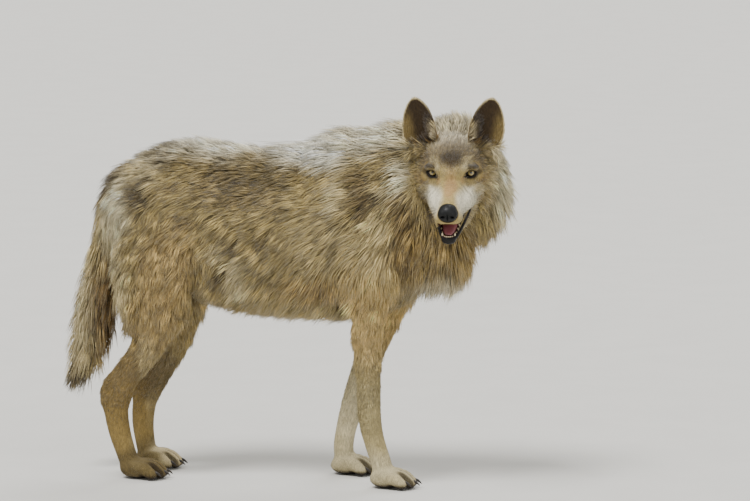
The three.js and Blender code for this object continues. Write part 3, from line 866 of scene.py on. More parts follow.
class EarSheet(Shape):
    """Both ears: leaf-shaped sheets, cupped forwards."""

    def __init__(self) -> None:
        """Sets the sizes, which follow the solid ears less their fur."""
        self.base = np.array([-64.0, 62, 46])
        axis = np.array([-76.0, 86.5, 150.5]) - self.base
        self.length = float(np.linalg.norm(axis))
        self.axis = unit(axis)
        self.across = unit(np.cross(self.axis, [0.95, 0.28, 0.1]))
        self.facing = np.cross(self.across, self.axis)
        self.half = 41.0
        self.cup = 24.0
        self.cup_half = 38.0
        self.low, self.high = FACE.limits(np.array([-115.0, 20, 20]), np.array([-15.0, 140, 165]))

    def own(self, p: np.ndarray) -> tuple[np.ndarray, np.ndarray, np.ndarray]:
        """Height (0 at the base, 1 at the tip), and distances towards the outer edge and out of the sheet."""
        q = FACE.local(p) - self.base
        up = q @ self.axis / self.length
        across = q @ self.across
        out = q @ self.facing
        u = across / self.cup_half
        bend = self.cup * (1.15 - 0.85 * np.clip(up, 0, 1)) * (u * u - 0.4)
        return up, across, out - bend

    def width(self, up: np.ndarray) -> np.ndarray:
        """Half of the ear's width at a height."""
        taper = np.clip((up - 0.3) / 0.7, 0, 1)
        foot = 0.7 + 0.3 * step_between(-0.25, 0.3, up)
        return self.half * (1 - taper**2) ** 0.62 * foot

    def distance(self, p: np.ndarray) -> np.ndarray:
        """Distances of body-frame points."""
        up, across, out = self.own(p)
        slope = np.hypot(1, 2 * self.cup * across / self.cup_half**2)
        sheet = (np.abs(out) - (3.6 - 0.8 * np.clip(up, 0, 1))) / slope
        ends = np.maximum(-up * self.length - 12, (up - 1) * self.length)
        edge = np.maximum(np.abs(across) - self.width(up), ends)
        return Step(self, 5, Way.KEEP).apply(sheet, edge)

    def on(self, p: np.ndarray) -> np.ndarray:
        """How much each point belongs to an ear, from 0 to 1."""
        up, across, out = self.own(p)
        near = step_between(12, 6, np.abs(out)) * step_between(12, 6, np.abs(across) - self.width(up))
        return near * step_between(-0.02, 0.14, up) * (FACE.local(p)[:, 2] < 175)

    def lie(self, p: np.ndarray) -> tuple[np.ndarray, np.ndarray, np.ndarray]:
        """How the ear's hair lies: towards the tip, longer in the hollow by the inner edge."""
        up, across, out = self.own(p)
        inner = step_between(6, 24, -across) * (out > 0) * step_between(0.75, 0.35, up)
        way = np.tile(self.axis, (len(p), 1)) + inner[:, None] * (1.2 * self.across + 0.3 * self.facing)
        way = way * np.where(side_of_head(p) < 0, -1, 1)[:, None] ** np.array([0, 1, 0])
        hair = np.where(out > 0, 6, 10 - 4 * np.clip(up, 0, 1)) + 13 * inner
        return way @ HEAD.turn.T, hair, 12 + 20 * inner


def side_of_head(p: np.ndarray) -> np.ndarray:
    """How far to the head's left each point lies."""
    return HEAD.local(p)[:, 1]


class LidOpening(Shape):
    """Both openings between the eyelids: almonds whose inner corners sit lower."""

    slant = math.radians(13)
    half = 11.8
    rise = 8.2
    drop = 6.6
    over = (half**2 + rise**2) / (2 * rise)  # radius of the upper edge
    under = (half**2 + drop**2) / (2 * drop)  # radius of the lower edge

    def __init__(self, eye: np.ndarray) -> None:
        """Args: eye is the eyeball's centre in the folded head."""
        self.eye = eye
        self.low, self.high = FACE.limits(eye - [6, 16, 12], eye + [30, 16, 12])

    def bow(self, p: np.ndarray) -> np.ndarray:
        """Distance outside the almond, of points given across and up from the eye."""
        u = p[:, 0] * math.cos(self.slant) + p[:, 1] * math.sin(self.slant)
        v = -p[:, 0] * math.sin(self.slant) + p[:, 1] * math.cos(self.slant)
        above = np.hypot(u, v + self.over - self.rise) - self.over
        return np.maximum(above, np.hypot(u, v - self.under + self.drop) - self.under)

    def distance(self, p: np.ndarray) -> np.ndarray:
        """Distances of body-frame points."""
        q = FACE.local(p) - self.eye
        return np.maximum(self.bow(q[:, 1:]), -q[:, 0] + 1)


@dataclass
class Head:
    """The head without its coat. Its two sides are alike."""

    eye: Triple = (-11, 41.5, 0)
    eye_radius: float = 12.5
    mouth: Rows = ((36, 0, -79, 3, 33), (75, 0, -92, 8, 25), (128, 0, -100, 13, 26))
    tongue_bed: Rows = ((22, 0, -84, 9, 24), (60, 0, -98, 9, 18.5), (98, 0, -110, 9, 13))
    palate: Rows = ((30, 0, -77, 8, 25), (70, 0, -81, 8, 19), (106, 0, -84, 7, 15))

    def __post_init__(self) -> None:
        """Builds the shapes that colours are measured from."""
        self.lids = LidOpening(np.array(self.eye, float))
        self.gape = Tube(self.mouth, HEAD)
        self.bed = Tube(self.tongue_bed, HEAD)
        self.roof = Tube(self.palate, HEAD)
        self.lips = [Tube(self.lip(1, 1.12), HEAD), Tube(self.lip(-1, 1.0)[:4], HEAD)]
        self.ears = EarSheet()

    @staticmethod
    def lip(side: int, spread: float) -> Rows:
        """The edge of the lower lip on one side, from its middle to the corner of the mouth."""
        rows = ((107, 0, -117.5, 3.6), (102, 11, -116, 3.6), (88, 18, -110, 3.4), (64, 25, -98.5, 3.2))
        rows += ((44, 31, -87, 3.0), (30, 36, -76, 2.6), (22, 39, -68, 1.8))
        return [(f, side * l * spread, t, r, r) for f, l, t, r in rows]

    def steps(self) -> list[Step]:
        """The skull, the face, the jaws, the ears, and what is cut out of them."""
        eye = self.eye
        bridge = [(-12, 0, -36, 39, 44), (38, 0, -44, 32, 32), (84, 0, -54, 27.5, 26.5)]
        bridge.append((110, 0, -60, 22, 22.5))
        jaw = [(-60, 0, -66, 32, 50), (0, 0, -90, 23, 38), (56, 0, -109, 15, 23), (99, 0, -120, 10.5, 16)]
        cheek = [(-16, 45, -48, 20, 11), (14, 41, -53, 18, 10), (42, 33, -58, 14, 8), (66, 26, -64, 10, 6)]
        mouth_corner = [(20, -36, -72, 13, 7), (46, -30, -79, 13, 7), (68, -25, -86, 9, 5)]
        return [
            Step(Oval((-62, 0, 9), (78, 58, 55), FACE), 30),
            Step(Oval((-70, 48, -36), (44, 32, 50), FACE), 28),
            Step(Oval((-44, 44, -22), (46, 27, 34), FACE), 22),
            Step(Oval((-6, 0, 6), (38, 27, 21), FACE), 18),
            Step(Oval((-16, 23, 12), (30, 21, 15), FACE), 14),
            Step(Tube(bridge, HEAD), 18),
            Step(Oval((98, 14, -70), (24, 16.5, 15), FACE), 9),
            Step(Tube(jaw, HEAD), 9),
            Step(Oval((eye[0] + 1, eye[1], eye[2]), (15, 16, 14.5), FACE), 8),
            Step(Oval((-8, 41.5, 13), (17, 17, 7), FACE), 6),
            Step(Oval((-86, 62, 34), (20, 28, 22), FACE), 14),
            Step(Tube(cheek, FACE), 14),
            Step(self.ears, 8),
            Step(self.gape, 3, Way.CARVE),
            Step(self.bed, 3, Way.CARVE),
            Step(self.roof, 3, Way.CARVE),
            Step(self.lids, 1.6, Way.CARVE),
            *(Step(lip, 2.5) for lip in self.lips),
            Step(Tube(mouth_corner, HEAD), 14),
        ]

    def guides(self) -> list[Guide]:
        """None: the head's hair follows a rule of its own."""
        return []

    def lie(self, p: np.ndarray) -> tuple[np.ndarray, np.ndarray, np.ndarray, np.ndarray]:
        """How the head's hair lies: away from the nose, short on the face, long on the cheeks and throat.

        Args:
            p: body-frame points.

        Returns:
            The way, the length, the lift in degrees, and how far each point belongs to the head.
        """
        h = HEAD.local(p)
        folded = FACE.local(p)
        f, l, t = folded.T
        top = np.interp(f, (-120, -85, -55, -28, -8, 12, 45, 80, 120), (44, 40, 34, 26, 18, 10, 6, 4, 2.8))
        side = np.interp(f, (-100, -70, -45, -25, -8, 8, 40, 80, 120), (58, 54, 46, 34, 21, 11, 6.5, 4.5, 3))
        under = np.interp(f, (-80, -40, -10, 20, 50, 80, 110), (64, 56, 42, 24, 12, 7, 4))
        upper = step_between(-10, 45, t)
        lower = step_between(-70, -112, t)
        hair = side + (top - side) * upper
        hair += (under - hair) * lower
        eye = np.linalg.norm((folded - self.eye) / [1.2, 1.3, 1], axis=1)
        hair = np.minimum(hair, np.interp(eye, (12, 18, 30, 44), (2.8, 5.5, 17, 60)))
        foot = np.linalg.norm((folded - [-50, 92, 40]) / [1, 1.2, 0.9], axis=1)
        hair = np.minimum(hair, np.interp(foot, (14, 46), (7, 50)))
        way = unit(h - [100, 0, -40])
        way[:, 2] -= 0.75 * step_between(36, 66, l) * step_between(75, 30, t)
        lift = np.interp(hair, (3, 10, 25, 50), (8, 14, 22, 26))
        skull = Oval((-20, 0, -15), (105, 88, 100), HEAD).distance(p)
        jaws = Oval((70, 0, -75), (90, 62, 75), HEAD).distance(p)
        return way @ HEAD.turn.T, hair, lift, step_between(32, -4, np.minimum(skull, jaws))


# ---------------------------------------------------------------- colour


class Tone(tuple, Enum):
    """The colours of the coat, as display colours."""

    BASE = (170, 151, 103)
    SADDLE = (120, 104, 76)
    SILVER = (222, 215, 200)
    DARK = (64, 51, 32)
    BEIGE = (184, 167, 125)
    CREAM = (206, 191, 154)
    WHITE = (228, 222, 208)
    TAN = (178, 151, 100)
    OCHRE = (160, 128, 76)
    BROWN = (126, 99, 56)
    CINNAMON = (168, 136, 96)
    SOOT = (38, 29, 18)


BODY_MARKS = (
    Mark("saddle", (-40, 0, 725), (230, 120, 60), Tone.SADDLE, 0.55, 0.5, False),
    # The back line is painted pale: partly the coat's silver, partly painted light on the top of the back, where the
    # light from above falls.
    Mark("back line", (-60, 0, 748), (230, 110, 42), (238, 231, 216), 0.9, 0.38, False),
    Mark("rump line", (-246, 0, 705), (66, 60, 31), Tone.SILVER, 0.5, 0.4, False),
    Mark("back speckle", (-65, 110, 660), (90, 60, 52), Tone.SADDLE, 0.65, 0.7),
    Mark("saddle streak", (58, 95, 676), (58, 60, 20), Tone.DARK, 0.4, 0.7),
    # The cape is painted near white: partly the pale of the coat there, partly painted light where the light from
    # above falls on the shoulders' top.
    Mark("cape", (112, 85, 724), (90, 90, 32), (250, 246, 238), 0.98, 0.03),
    Mark("cape rise", (220, 50, 766), (110, 90, 38), Tone.SILVER, 0.9, 0.3),
    Mark("withers tips", (166, 0, 772), (48, 60, 26), (120, 106, 80), 0.6, 0.8, False),
    Mark("pale band", (186, 125, 640), (19, 60, 48), Tone.CREAM, 0.85, 0.05),
    Mark("shoulder streak", (243, 130, 655), (30, 70, 64), (118, 101, 70), 0.85, 0.55),
    Mark("shoulder patch", (259, 130, 635), (13, 60, 24), Tone.DARK, 0.6, 0.6),
    Mark("neck light", (284, 120, 650), (14, 60, 34), Tone.CREAM, 0.6, 0.1),
    Mark("neck pale", (309, 110, 702), (17, 60, 72), (226, 218, 196), 0.9, 0.1),
    Mark("upper flank shade", (28, 125, 636), (50, 60, 38), Tone.SADDLE, 0.5, 0.55),
    Mark("flank gold", (-55, 125, 571), (70, 60, 34), Tone.BASE, 0.6, 0.1),
    Mark("flank beige", (150, 130, 537), (70, 60, 70), Tone.BEIGE, 0.55, 0.2),
    Mark("belly ochre", (138, 110, 433), (76, 80, 26), Tone.OCHRE, 0.5, 0.1),
    Mark("belly fringe", (100, 60, 384), (130, 90, 22), Tone.BEIGE, 0.65, 0.05),
    Mark("flank locks", (-85, 120, 504), (22, 60, 30), Tone.CREAM, 0.6, 0.05),
    Mark("belly locks", (-40, 105, 436), (28, 60, 60), (216, 202, 166), 0.8, 0.1),
    Mark("flank spot 1", (-41, 125, 523), (10, 60, 14), Tone.DARK, 0.75, 0.6),
    Mark("flank spot 2", (-39, 125, 618), (12, 60, 10), Tone.DARK, 0.55, 0.6),
    Mark("flank spot 3", (20, 130, 532), (20, 60, 10), Tone.DARK, 0.65, 0.6),
    Mark("flank spot 4", (34, 120, 447), (10, 60, 10), Tone.DARK, 0.65, 0.5),
    Mark("croup", (-243, 0, 716), (52, 60, 24), (122, 110, 82), 0.75, 0.7, False),
    Mark("pale rump top", (-262, 85, 668), (50, 80, 24), Tone.CREAM, 0.75, 0.15),
    Mark("pale rump", (-322, 75, 598), (36, 80, 70), (232, 222, 196), 0.92, 0.05),
    Mark("pale rump foot", (-340, 60, 510), (36, 60, 70), (226, 214, 184), 0.9, 0.05),
    Mark("rump edge", (-338, 0, 650), (40, 46, 74), (92, 76, 50), 0.8, 0.7, False),
    Mark("rump patch", (-266, 105, 628), (28, 60, 38), (70, 58, 40), 0.85, 0.7, soft=0.7),
    Mark("rump patch top", (-246, 105, 666), (22, 60, 10), Tone.DARK, 0.7, 0.8),
    Mark("rump patch rear", (-182, 110, 648), (22, 60, 13), Tone.SADDLE, 0.8, 0.7),
    Mark("hip shade", (-158, 115, 572), (32, 60, 16), Tone.SADDLE, 0.7, 0.5),
    # Painted shadow in the crease of the hip.
    Mark("hip crease", (-247, 110, 485), (8, 60, 20), Tone.DARK, 0.7, 0.5),
    Mark("thigh", (-190, 110, 460), (66, 70, 110), Tone.TAN, 0.75, 0.08),
    # Painted shadow in the fold between the flank and the thigh.
    Mark("flank fold", (-87, 100, 446), (16, 60, 20), Tone.DARK, 0.8, 0.5),
    Mark("thigh low", (-235, 90, 350), (60, 60, 70), Tone.TAN, 0.6, 0.05),
    Mark("breeches", (-310, 70, 390), (34, 60, 100), Tone.CREAM, 0.75, 0.0),
    Mark("tail back", (-425, 0, 430), (44, 60, 200), (216, 202, 168), 0.85, 0.2, False),
    # The tail's front is partly its own ochre-brown and partly painted shade where it hangs by the thighs.
    Mark("tail front", (-345, 0, 350), (44, 60, 130), (118, 90, 46), 0.9, 0.2, False),
    Mark("tail tip", (-428, 0, 200), (40, 50, 34), Tone.DARK, 0.6, 0.7, False),
    Mark("shoulder beige", (268, 115, 516), (40, 60, 84), (204, 186, 142), 0.85, 0.08),
    Mark("foreleg", (258, 90, 380), (60, 60, 120), (212, 184, 128), 0.85, 0.0, soft=0.5),
    Mark("neck shade", (318, 110, 600), (26, 60, 42), (126, 106, 70), 0.6, 0.4),
    Mark("neck shade top", (290, 110, 729), (24, 60, 28), (120, 104, 76), 0.45, 0.5),
    Mark("foreleg low", (250, 80, 150), (130, 60, 120), (162, 149, 114), 0.85, 0.05, soft=0.5),
    Mark("hindleg low", (-300, 75, 200), (76, 60, 130), (128, 106, 62), 0.9, 0.1, soft=0.6),
    Mark("hindleg front", (-240, 75, 230), (20, 60, 100), (190, 172, 130), 0.7, 0.0),
    Mark("hindleg front low", (-266, 75, 100), (17, 60, 90), (200, 184, 142), 0.85, 0.0),
    # Painted shade on the far hind leg's inner side, seen between the legs.
    Mark("inner hindleg", (-258, 60, 220), (44, 34, 110), (104, 88, 58), 0.7, 0.1, False),
    Mark("hindleg foot", (-310, 75, 90), (60, 60, 66), (124, 104, 62), 0.8, 0.1),
    Mark("inner foreleg", (186, 76, 150), (50, 40, 110), (216, 206, 180), 0.75, 0.0, False),
    Mark("fore paw", (250, 75, 26), (180, 70, 56), (184, 174, 148), 0.85, 0.05),
    # Painted shadow: the hind paws go dark brown as the near one lies in shade; the far one is painted pale again by
    # the next mark.
    Mark("hind paw", (-250, 75, 26), (110, 70, 44), (88, 75, 48), 0.9, 0.15),
    Mark("far hind paw", (-214, 70, 28), (60, 44, 40), (214, 198, 162), 0.9, 0.0, False),
    Mark("chest side", (334, 95, 524), (34, 70, 80), (146, 120, 72), 0.7, 0.3),
    Mark("chest", (410, 0, 530), (70, 110, 80), (150, 124, 76), 0.65, 0.3, False),
    Mark("chest fringe", (400, 0, 425), (60, 80, 34), Tone.WHITE, 0.65, 0.0, False),
    Mark("ruff edge", (566, 0, 655), (46, 90, 150), (226, 218, 194), 0.9, 0.05, False),
    Mark("nape", (400, 10, 800), (90, 90, 40), (200, 190, 166), 0.8, 0.35, False),
)

HEAD_MARKS = (
    Mark("crown", (-66, 0, 74), (60, 60, 36), (202, 190, 168), 0.95, 0.35),
    Mark("forehead", (-10, 0, 40), (46, 46, 32), Tone.SADDLE, 0.85, 0.6),
    Mark("forehead patch", (2, 4, 34), (26, 17, 19), (60, 50, 36), 0.9, 0.9, soft=0.6),
    Mark("forehead line", (14, 0, 18), (18, 7, 17), Tone.DARK, 0.7, 0.7),
    Mark("temple", (-30, 58, 20), (38, 28, 26), (116, 100, 74), 0.8, 0.7),
    Mark("ear foot", (-46, 74, 36), (32, 34, 26), (126, 110, 82), 0.85, 0.5),
    Mark("brow pale", (-6, 42, 30), (22, 17, 9), Tone.BEIGE, 0.75, 0.2),
    Mark("brow spot", (6, 27, 16), (12, 7, 7), Tone.CREAM, 0.9, 0.0),
    Mark("brow line", (0, 46, 16), (18, 19, 4.2), (58, 48, 34), 0.9, 0.6),
    Mark("muzzle top", (50, 0, -18), (54, 14, 20), Tone.CINNAMON, 0.9, 0.0),
    Mark("stop", (16, 0, 4), (18, 13, 14), Tone.CINNAMON, 0.75, 0.2),
    Mark("tear line", (12, 26, -12), (12, 7, 10), Tone.CINNAMON, 0.7, 0.0),
    Mark("muzzle side", (62, 32, -50), (58, 21, 30), Tone.WHITE, 0.95, 0.0),
    Mark("cheek white", (4, 44, -48), (44, 26, 28), Tone.WHITE, 0.78, 0.1),
    Mark("under eye", (4, 43, -16), (22, 22, 9), (134, 118, 80), 0.85, 0.1),
    Mark("eye rim", (0, 41.5, 0), (17, 15.5, 10.5), Tone.SOOT, 0.95, 0.0, soft=0.3),
    Mark("eye tail", (-14, 61, 3), (18, 13, 5.5), (62, 52, 36), 0.85, 0.5),
    Mark("eye corner", (4, 27, -7), (10, 6, 4.5), Tone.SOOT, 0.8, 0.0),
    Mark("cheek streak", (-28, 72, -16), (30, 26, 12), Tone.BROWN, 0.85, 0.6),
    Mark("cheek streak low", (-30, 70, -60), (34, 24, 11), Tone.BROWN, 0.6, 0.4),
    Mark("cheek streak inner", (-8, 54, -34), (20, 12, 9), Tone.BEIGE, 0.7, 0.2),
    Mark("cheek tan", (-40, 80, -40), (40, 30, 40), Tone.BASE, 0.5, 0.3),
    Mark("cheek pale", (-60, 118, -45), (60, 26, 80), Tone.CREAM, 0.8, 0.1),
    Mark("chin", (92, 0, -134), (34, 24, 12), Tone.WHITE, 0.6, 0.0),
    Mark("throat", (-10, 0, -130), (80, 64, 44), Tone.BEIGE, 0.8, 0.1),
)


class Markings:
    """Works out the coat's colour anywhere."""

    warmth = (1.0, 0.985, 0.87)

    def __init__(self, ears: EarSheet) -> None:
        """Args: ears are the ears, which have colours of their own inside and out."""
        self.ears = ears

    def paint_ears(self, p: np.ndarray, colour: np.ndarray, ticks: np.ndarray) -> None:
        """Lays the ears' colours over the coat's, in place, with painted shade in their hollows."""
        near = np.flatnonzero(self.ears.near(p, 15))
        up, across, out = self.ears.own(p[near])
        on = self.ears.on(p[near])[:, None]
        half = self.ears.width(up)
        back = srgb(*Tone.BROWN) * (1 - up[:, None] * 0.5)
        # Painted shade: the inside of each ear is dark brown, lighter towards its outer and inner edges, as shade in
        # the ear's hollow.
        inside = np.tile(srgb(54, 42, 28), (len(near), 1))
        outer = step_between(0.2, 0.75, across / half)[:, None] * step_between(0.85, 0.5, up)[:, None]
        inside += (srgb(108, 92, 58) - inside) * outer
        inner = step_between(0.3, 0.7, -across / half)[:, None] * step_between(0.6, 0.3, up)[:, None]
        inside += (srgb(112, 98, 72) - inside) * inner
        tone = np.where((out > -1)[:, None], inside, back)
        edge = np.maximum(np.abs(across) - half, (up - 1) * self.ears.length)
        rim = step_between(-5.5, -2.0, edge)[:, None] * step_between(-0.5, 0.2, across / half + up)[:, None]
        tone += (srgb(*Tone.CREAM) - tone) * rim
        colour[near] += (tone - colour[near]) * on
        ticks[near] *= 1 - on[:, 0]

    def colours(self, p: np.ndarray) -> tuple[np.ndarray, np.ndarray]:
        """The coat at points.

        Args:
            p: body-frame points.

        Returns:
            Linear colours, and the share of dark tips at each.
        """
        ragged = np.stack([noise(p, 22, s) for s in (1, 2, 3)], 1) * 9
        colour = np.tile(srgb(*Tone.BASE), (len(p), 1))
        ticks = np.full(len(p), 0.2)
        colour, ticks = self.blend(BODY_MARKS, p + ragged, colour, ticks)
        h = HEAD.local(p + ragged * 0.3)
        weight = step_between(70, 10, np.maximum(Oval((-10, 0, -10), (100, 70, 80), HEAD).distance(p), 0))
        face, face_ticks = self.blend(HEAD_MARKS, h, colour.copy(), ticks.copy())
        colour += (face - colour) * weight[:, None]
        ticks += (face_ticks - ticks) * weight
        # Painted shade: the coat goes near black in the gaps between the toes and low under the front of each paw.
        for leg in LEGS:
            under_toe_shade = step_between(16, 7, p[:, 2]) * (p[:, 0] > leg.paw_x + 20)
            dark = np.maximum(leg.between_toes(p), under_toe_shade) * (np.abs(p[:, 1] - leg.foot_y) < 55)
            colour += (srgb(*Tone.SOOT) - colour) * (0.85 * dark)[:, None]
        self.paint_ears(p, colour, ticks)
        tone = 1 + 0.1 * noise(p, 35, 4) + 0.07 * noise(p, 9, 5) + 0.09 * noise(p * [1, 1, 0.3], 5, 7)
        colour = colour * self.warmth
        return np.clip(colour * tone[:, None], 0, 1), np.clip(ticks + 0.1 * noise(p, 18, 6), 0, 1)

    @staticmethod
    def blend(
        marks: Iterable[Mark], p: np.ndarray, colour: np.ndarray, ticks: np.ndarray
    ) -> tuple[np.ndarray, np.ndarray]:
        """Lays marks over a colour, in order, and returns the new colour and ticks."""
        for mark in marks:
            q = p.copy()
            if mark.mirrored:
                q[:, 1] = np.abs(q[:, 1])
            k = np.linalg.norm((q - mark.at) / mark.size, axis=1)
            w = mark.strength * step_between(1 + mark.soft, 1 - mark.soft, k)
            colour = colour + (srgb(*mark.colour) - colour) * w[:, None]
            if mark.ticks is not None:
                ticks = ticks + (mark.ticks - ticks) * w
        return colour, ticks


# ---------------------------------------------------------------- meshes


def stand(name: str, data: bpy.types.ID) -> bpy.types.Object:
    """An object made from data, in the scene."""
    made = bpy.data.objects.new(name, data)
    bpy.context.scene.collection.objects.link(made)
    return made


def new_mesh(name: str, points: np.ndarray, faces: np.ndarray) -> bpy.types.Object:
    """A smooth mesh object from arrays.

    Args:
        name: the object's name.
        points: millimetre points in the wolf's frame.
        faces: rows of three or four indices.

    Returns:
        The object, with its place in its mesh.
    """
    mesh = bpy.data.meshes.new(name)
    mesh.vertices.add(len(points))
    mesh.vertices.foreach_set("co", ((points + SHIFT) * MM).astype(np.float32).ravel())
    sides = faces.shape[1]
    mesh.loops.add(faces.size)
    mesh.loops.foreach_set("vertex_index", faces.astype(np.int32).ravel())
    mesh.polygons.add(len(faces))
    mesh.polygons.foreach_set("loop_start", np.arange(0, faces.size, sides, dtype=np.int32))
    mesh.update(calc_edges=True)
    mesh.shade_smooth()
    return stand(name, mesh)


def paint(made: bpy.types.Object, name: str, colour: np.ndarray) -> None:
    """Writes a colour to each vertex."""
    layer = made.data.attributes.new(name, "FLOAT_COLOR", "POINT")
    rgba = np.ones((len(colour), 4), np.float32)
    rgba[:, :3] = colour
    layer.data.foreach_set("color", rgba.ravel())


def number(made: bpy.types.Object, name: str, values: np.ndarray) -> None:
    """Writes a number to each vertex."""
    layer = made.data.attributes.new(name, "FLOAT", "POINT")
    layer.data.foreach_set("value", values.astype(np.float32))


def hand_over(made: bpy.types.Object, slot: str, *nodes: str) -> None:
    """Gives a piece to the frame: its body, its slot and the solids that it stands for."""
    if nodes:
        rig.replaces(made, *nodes)
    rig.ride(made, "root")
    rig.slot(made, slot)
    LOG.info("%s: %d faces", made.name, len(made.data.polygons))


# ---------------------------------------------------------------- finishes


class Nodes:
    """A short way to write a node tree."""

    def __init__(self, tree: bpy.types.NodeTree) -> None:
        """Args: tree is the tree to fill."""
        self.tree = tree

    def add(self, kind: str, settings: dict[str, object] | None = None, **inputs: object) -> bpy.types.Node:
        """Adds a node.

        Args:
            kind: the node's type.
            settings: attributes to set on the node before its inputs.
            inputs: sockets to link or values to set, by name, or by number after an underscore.

        Returns:
            The node.
        """
        node = self.tree.nodes.new(kind)
        for name, value in (settings or {}).items():
            setattr(node, name, value)
        for name, value in inputs.items():
            key = int(name[1:]) if name[0] == "_" and name[1:].isdigit() else name.replace("_", " ")
            socket = node.inputs[key]
            if isinstance(value, bpy.types.NodeSocket):
                self.tree.links.new(value, socket)
            else:
                socket.default_value = value
        return node


def new_material(name: str) -> tuple[bpy.types.Material, Nodes]:
    """A material with an empty tree, and the way to fill it."""
    material = bpy.data.materials.new(name)
    material.use_nodes = True
    material.node_tree.nodes.clear()
    return material, Nodes(material.node_tree)


def group_interface(tree: bpy.types.NodeTree, sockets: Sequence[tuple[str, str, str, object]]) -> None:
    """Gives a group its sockets, each as its name, direction, type and default."""
    for name, way, kind, default in sockets:
        socket = tree.interface.new_socket(name=name, in_out=way, socket_type=kind)
        if default is not None:
            socket.default_value = default


def fleck_group() -> bpy.types.NodeTree:
    """A group that makes a colour lighter and darker in small flecks, and gives their height.

    A stretch under 1 draws the flecks out upwards.
    """
    tree = bpy.data.node_groups.new("fleck", "ShaderNodeTree")
    group_interface(
        tree,
        (
            ("Colour", "INPUT", "NodeSocketColor", (0.5, 0.5, 0.5, 1)),
            ("Scale", "INPUT", "NodeSocketFloat", 400.0),
            ("Amount", "INPUT", "NodeSocketFloat", 0.3),
            ("Stretch", "INPUT", "NodeSocketFloat", 1.0),
            ("Colour", "OUTPUT", "NodeSocketColor", None),
            ("Height", "OUTPUT", "NodeSocketFloat", None),
        ),
    )
    n = Nodes(tree)
    given = n.add("NodeGroupInput").outputs
    place = n.add("ShaderNodeTexCoord").outputs["Object"]
    stretch = n.add("ShaderNodeCombineXYZ", X=1.0, Y=1.0, Z=given["Stretch"])
    drawn = n.add("ShaderNodeVectorMath", {"operation": "MULTIPLY"}, _0=place, _1=stretch.outputs[0])
    flecks = n.add(
        "ShaderNodeTexNoise", Vector=drawn.outputs[0], Scale=given["Scale"], Detail=3.0, Roughness=0.6
    ).outputs["Fac"]
    less = n.add("ShaderNodeMath", {"operation": "SUBTRACT"}, _0=1.0, _1=given["Amount"]).outputs[0]
    more = n.add("ShaderNodeMath", {"operation": "ADD"}, _0=1.0, _1=given["Amount"]).outputs[0]
    span = n.add("ShaderNodeMapRange", Value=flecks, From_Min=0.3, From_Max=0.7, To_Min=less, To_Max=more)
    scaled = n.add(
        "ShaderNodeVectorMath", {"operation": "SCALE"}, _0=given["Colour"], Scale=span.outputs[0]
    )
    n.add("NodeGroupOutput", Colour=scaled.outputs[0], Height=flecks)
    return tree


FLECK = fleck_group()


@dataclass(frozen=True)
class Finish:
    """A finish whose colour is painted on the mesh, with flecks over it."""

    name: str
    paint: str | None = "colour"
    colour: tuple[int, int, int] = (128, 128, 128)
    rough: float = 0.6
    rough_paint: str | None = None
    specular: float = 0.3
    sheen: float = 0.0
    coat: float = 0.0
    fleck_scale: float = 300.0
    fleck: float = 0.1
    stretch: float = 1.0
    bump: float = 0.0
    bump_depth: float = 0.001
    subsurface: float = 0.0

    def make(self) -> bpy.types.Material:
        """Builds the material."""
        material, n = new_material(self.name)
        colour = (*srgb(*self.colour), 1)
        if self.paint:
            colour = n.add("ShaderNodeAttribute", {"attribute_name": self.paint}).outputs["Color"]
        fleck = n.add(
            "ShaderNodeGroup",
            {"node_tree": FLECK},
            Colour=colour,
            Scale=self.fleck_scale,
            Amount=self.fleck,
            Stretch=self.stretch,
        )
        inputs = {
            "Base_Color": fleck.outputs["Colour"],
            "Roughness": self.rough,
            "Specular_IOR_Level": self.specular,
            "Sheen_Weight": self.sheen,
            "Sheen_Roughness": 0.5,
            "Coat_Weight": self.coat,
            "Coat_Roughness": 0.08,
        }
        if self.rough_paint:
            rough = n.add("ShaderNodeAttribute", {"attribute_name": self.rough_paint})
            inputs["Roughness"] = rough.outputs["Fac"]
        if self.subsurface:
            inputs |= {"Subsurface_Weight": self.subsurface, "Subsurface_Scale": 0.004}
        if self.bump:
            height = fleck.outputs["Height"]
            bump = n.add("ShaderNodeBump", Height=height, Strength=self.bump, Distance=self.bump_depth)
            inputs["Normal"] = bump.outputs["Normal"]
        shader = n.add("ShaderNodeBsdfPrincipled", **inputs)
        n.add("ShaderNodeOutputMaterial", Surface=shader.outputs["BSDF"])
        return material


@dataclass(frozen=True)
class EyeFinish:
    """An amber eye: pupil, iris and dark edge, by the angle from the line of sight."""

    name: str = "eye"
    pupil: float = 0.16
    iris: float = 0.6

    def make(self) -> bpy.types.Material:
        """Builds the material. It reads the painted angle, in radians."""
        material, n = new_material(self.name)
        angle = n.add("ShaderNodeAttribute", {"attribute_name": "angle"})
        place = n.add("ShaderNodeTexCoord").outputs["Object"]
        streaks = n.add("ShaderNodeTexNoise", Vector=place, Scale=1400.0, Detail=2.0)
        ramp = n.add("ShaderNodeValToRGB", Fac=angle.outputs["Fac"])
        stops = (
            (0.0, (4, 4, 4)),
            (self.pupil - 0.015, (5, 5, 4)),
            (self.pupil + 0.015, (116, 96, 48)),
            (0.5 * (self.pupil + self.iris), (184, 164, 98)),
            (self.iris - 0.08, (136, 114, 60)),
            (self.iris, (40, 30, 16)),
            (self.iris + 0.08, (62, 50, 40)),
        )
        ramp.color_ramp.elements.remove(ramp.color_ramp.elements[1])
        ramp.color_ramp.elements[0].color = (*srgb(*stops[0][1]), 1)
        for place_at, colour in stops[1:]:
            ramp.color_ramp.elements.new(place_at).color = (*srgb(*colour), 1)
        streak = n.add(
            "ShaderNodeMix",
            {"data_type": "RGBA", "blend_type": "MULTIPLY"},
            Factor=0.3,
            A=ramp.outputs["Color"],
            B=streaks.outputs["Color"],
        )
        shader = n.add(
            "ShaderNodeBsdfPrincipled",
            Base_Color=streak.outputs["Result"],
            Roughness=0.12,
            Coat_Weight=1.0,
            Coat_Roughness=0.03,
        )
        n.add("ShaderNodeOutputMaterial", Surface=shader.outputs["BSDF"])
        return material


# ---------------------------------------------------------------- skin


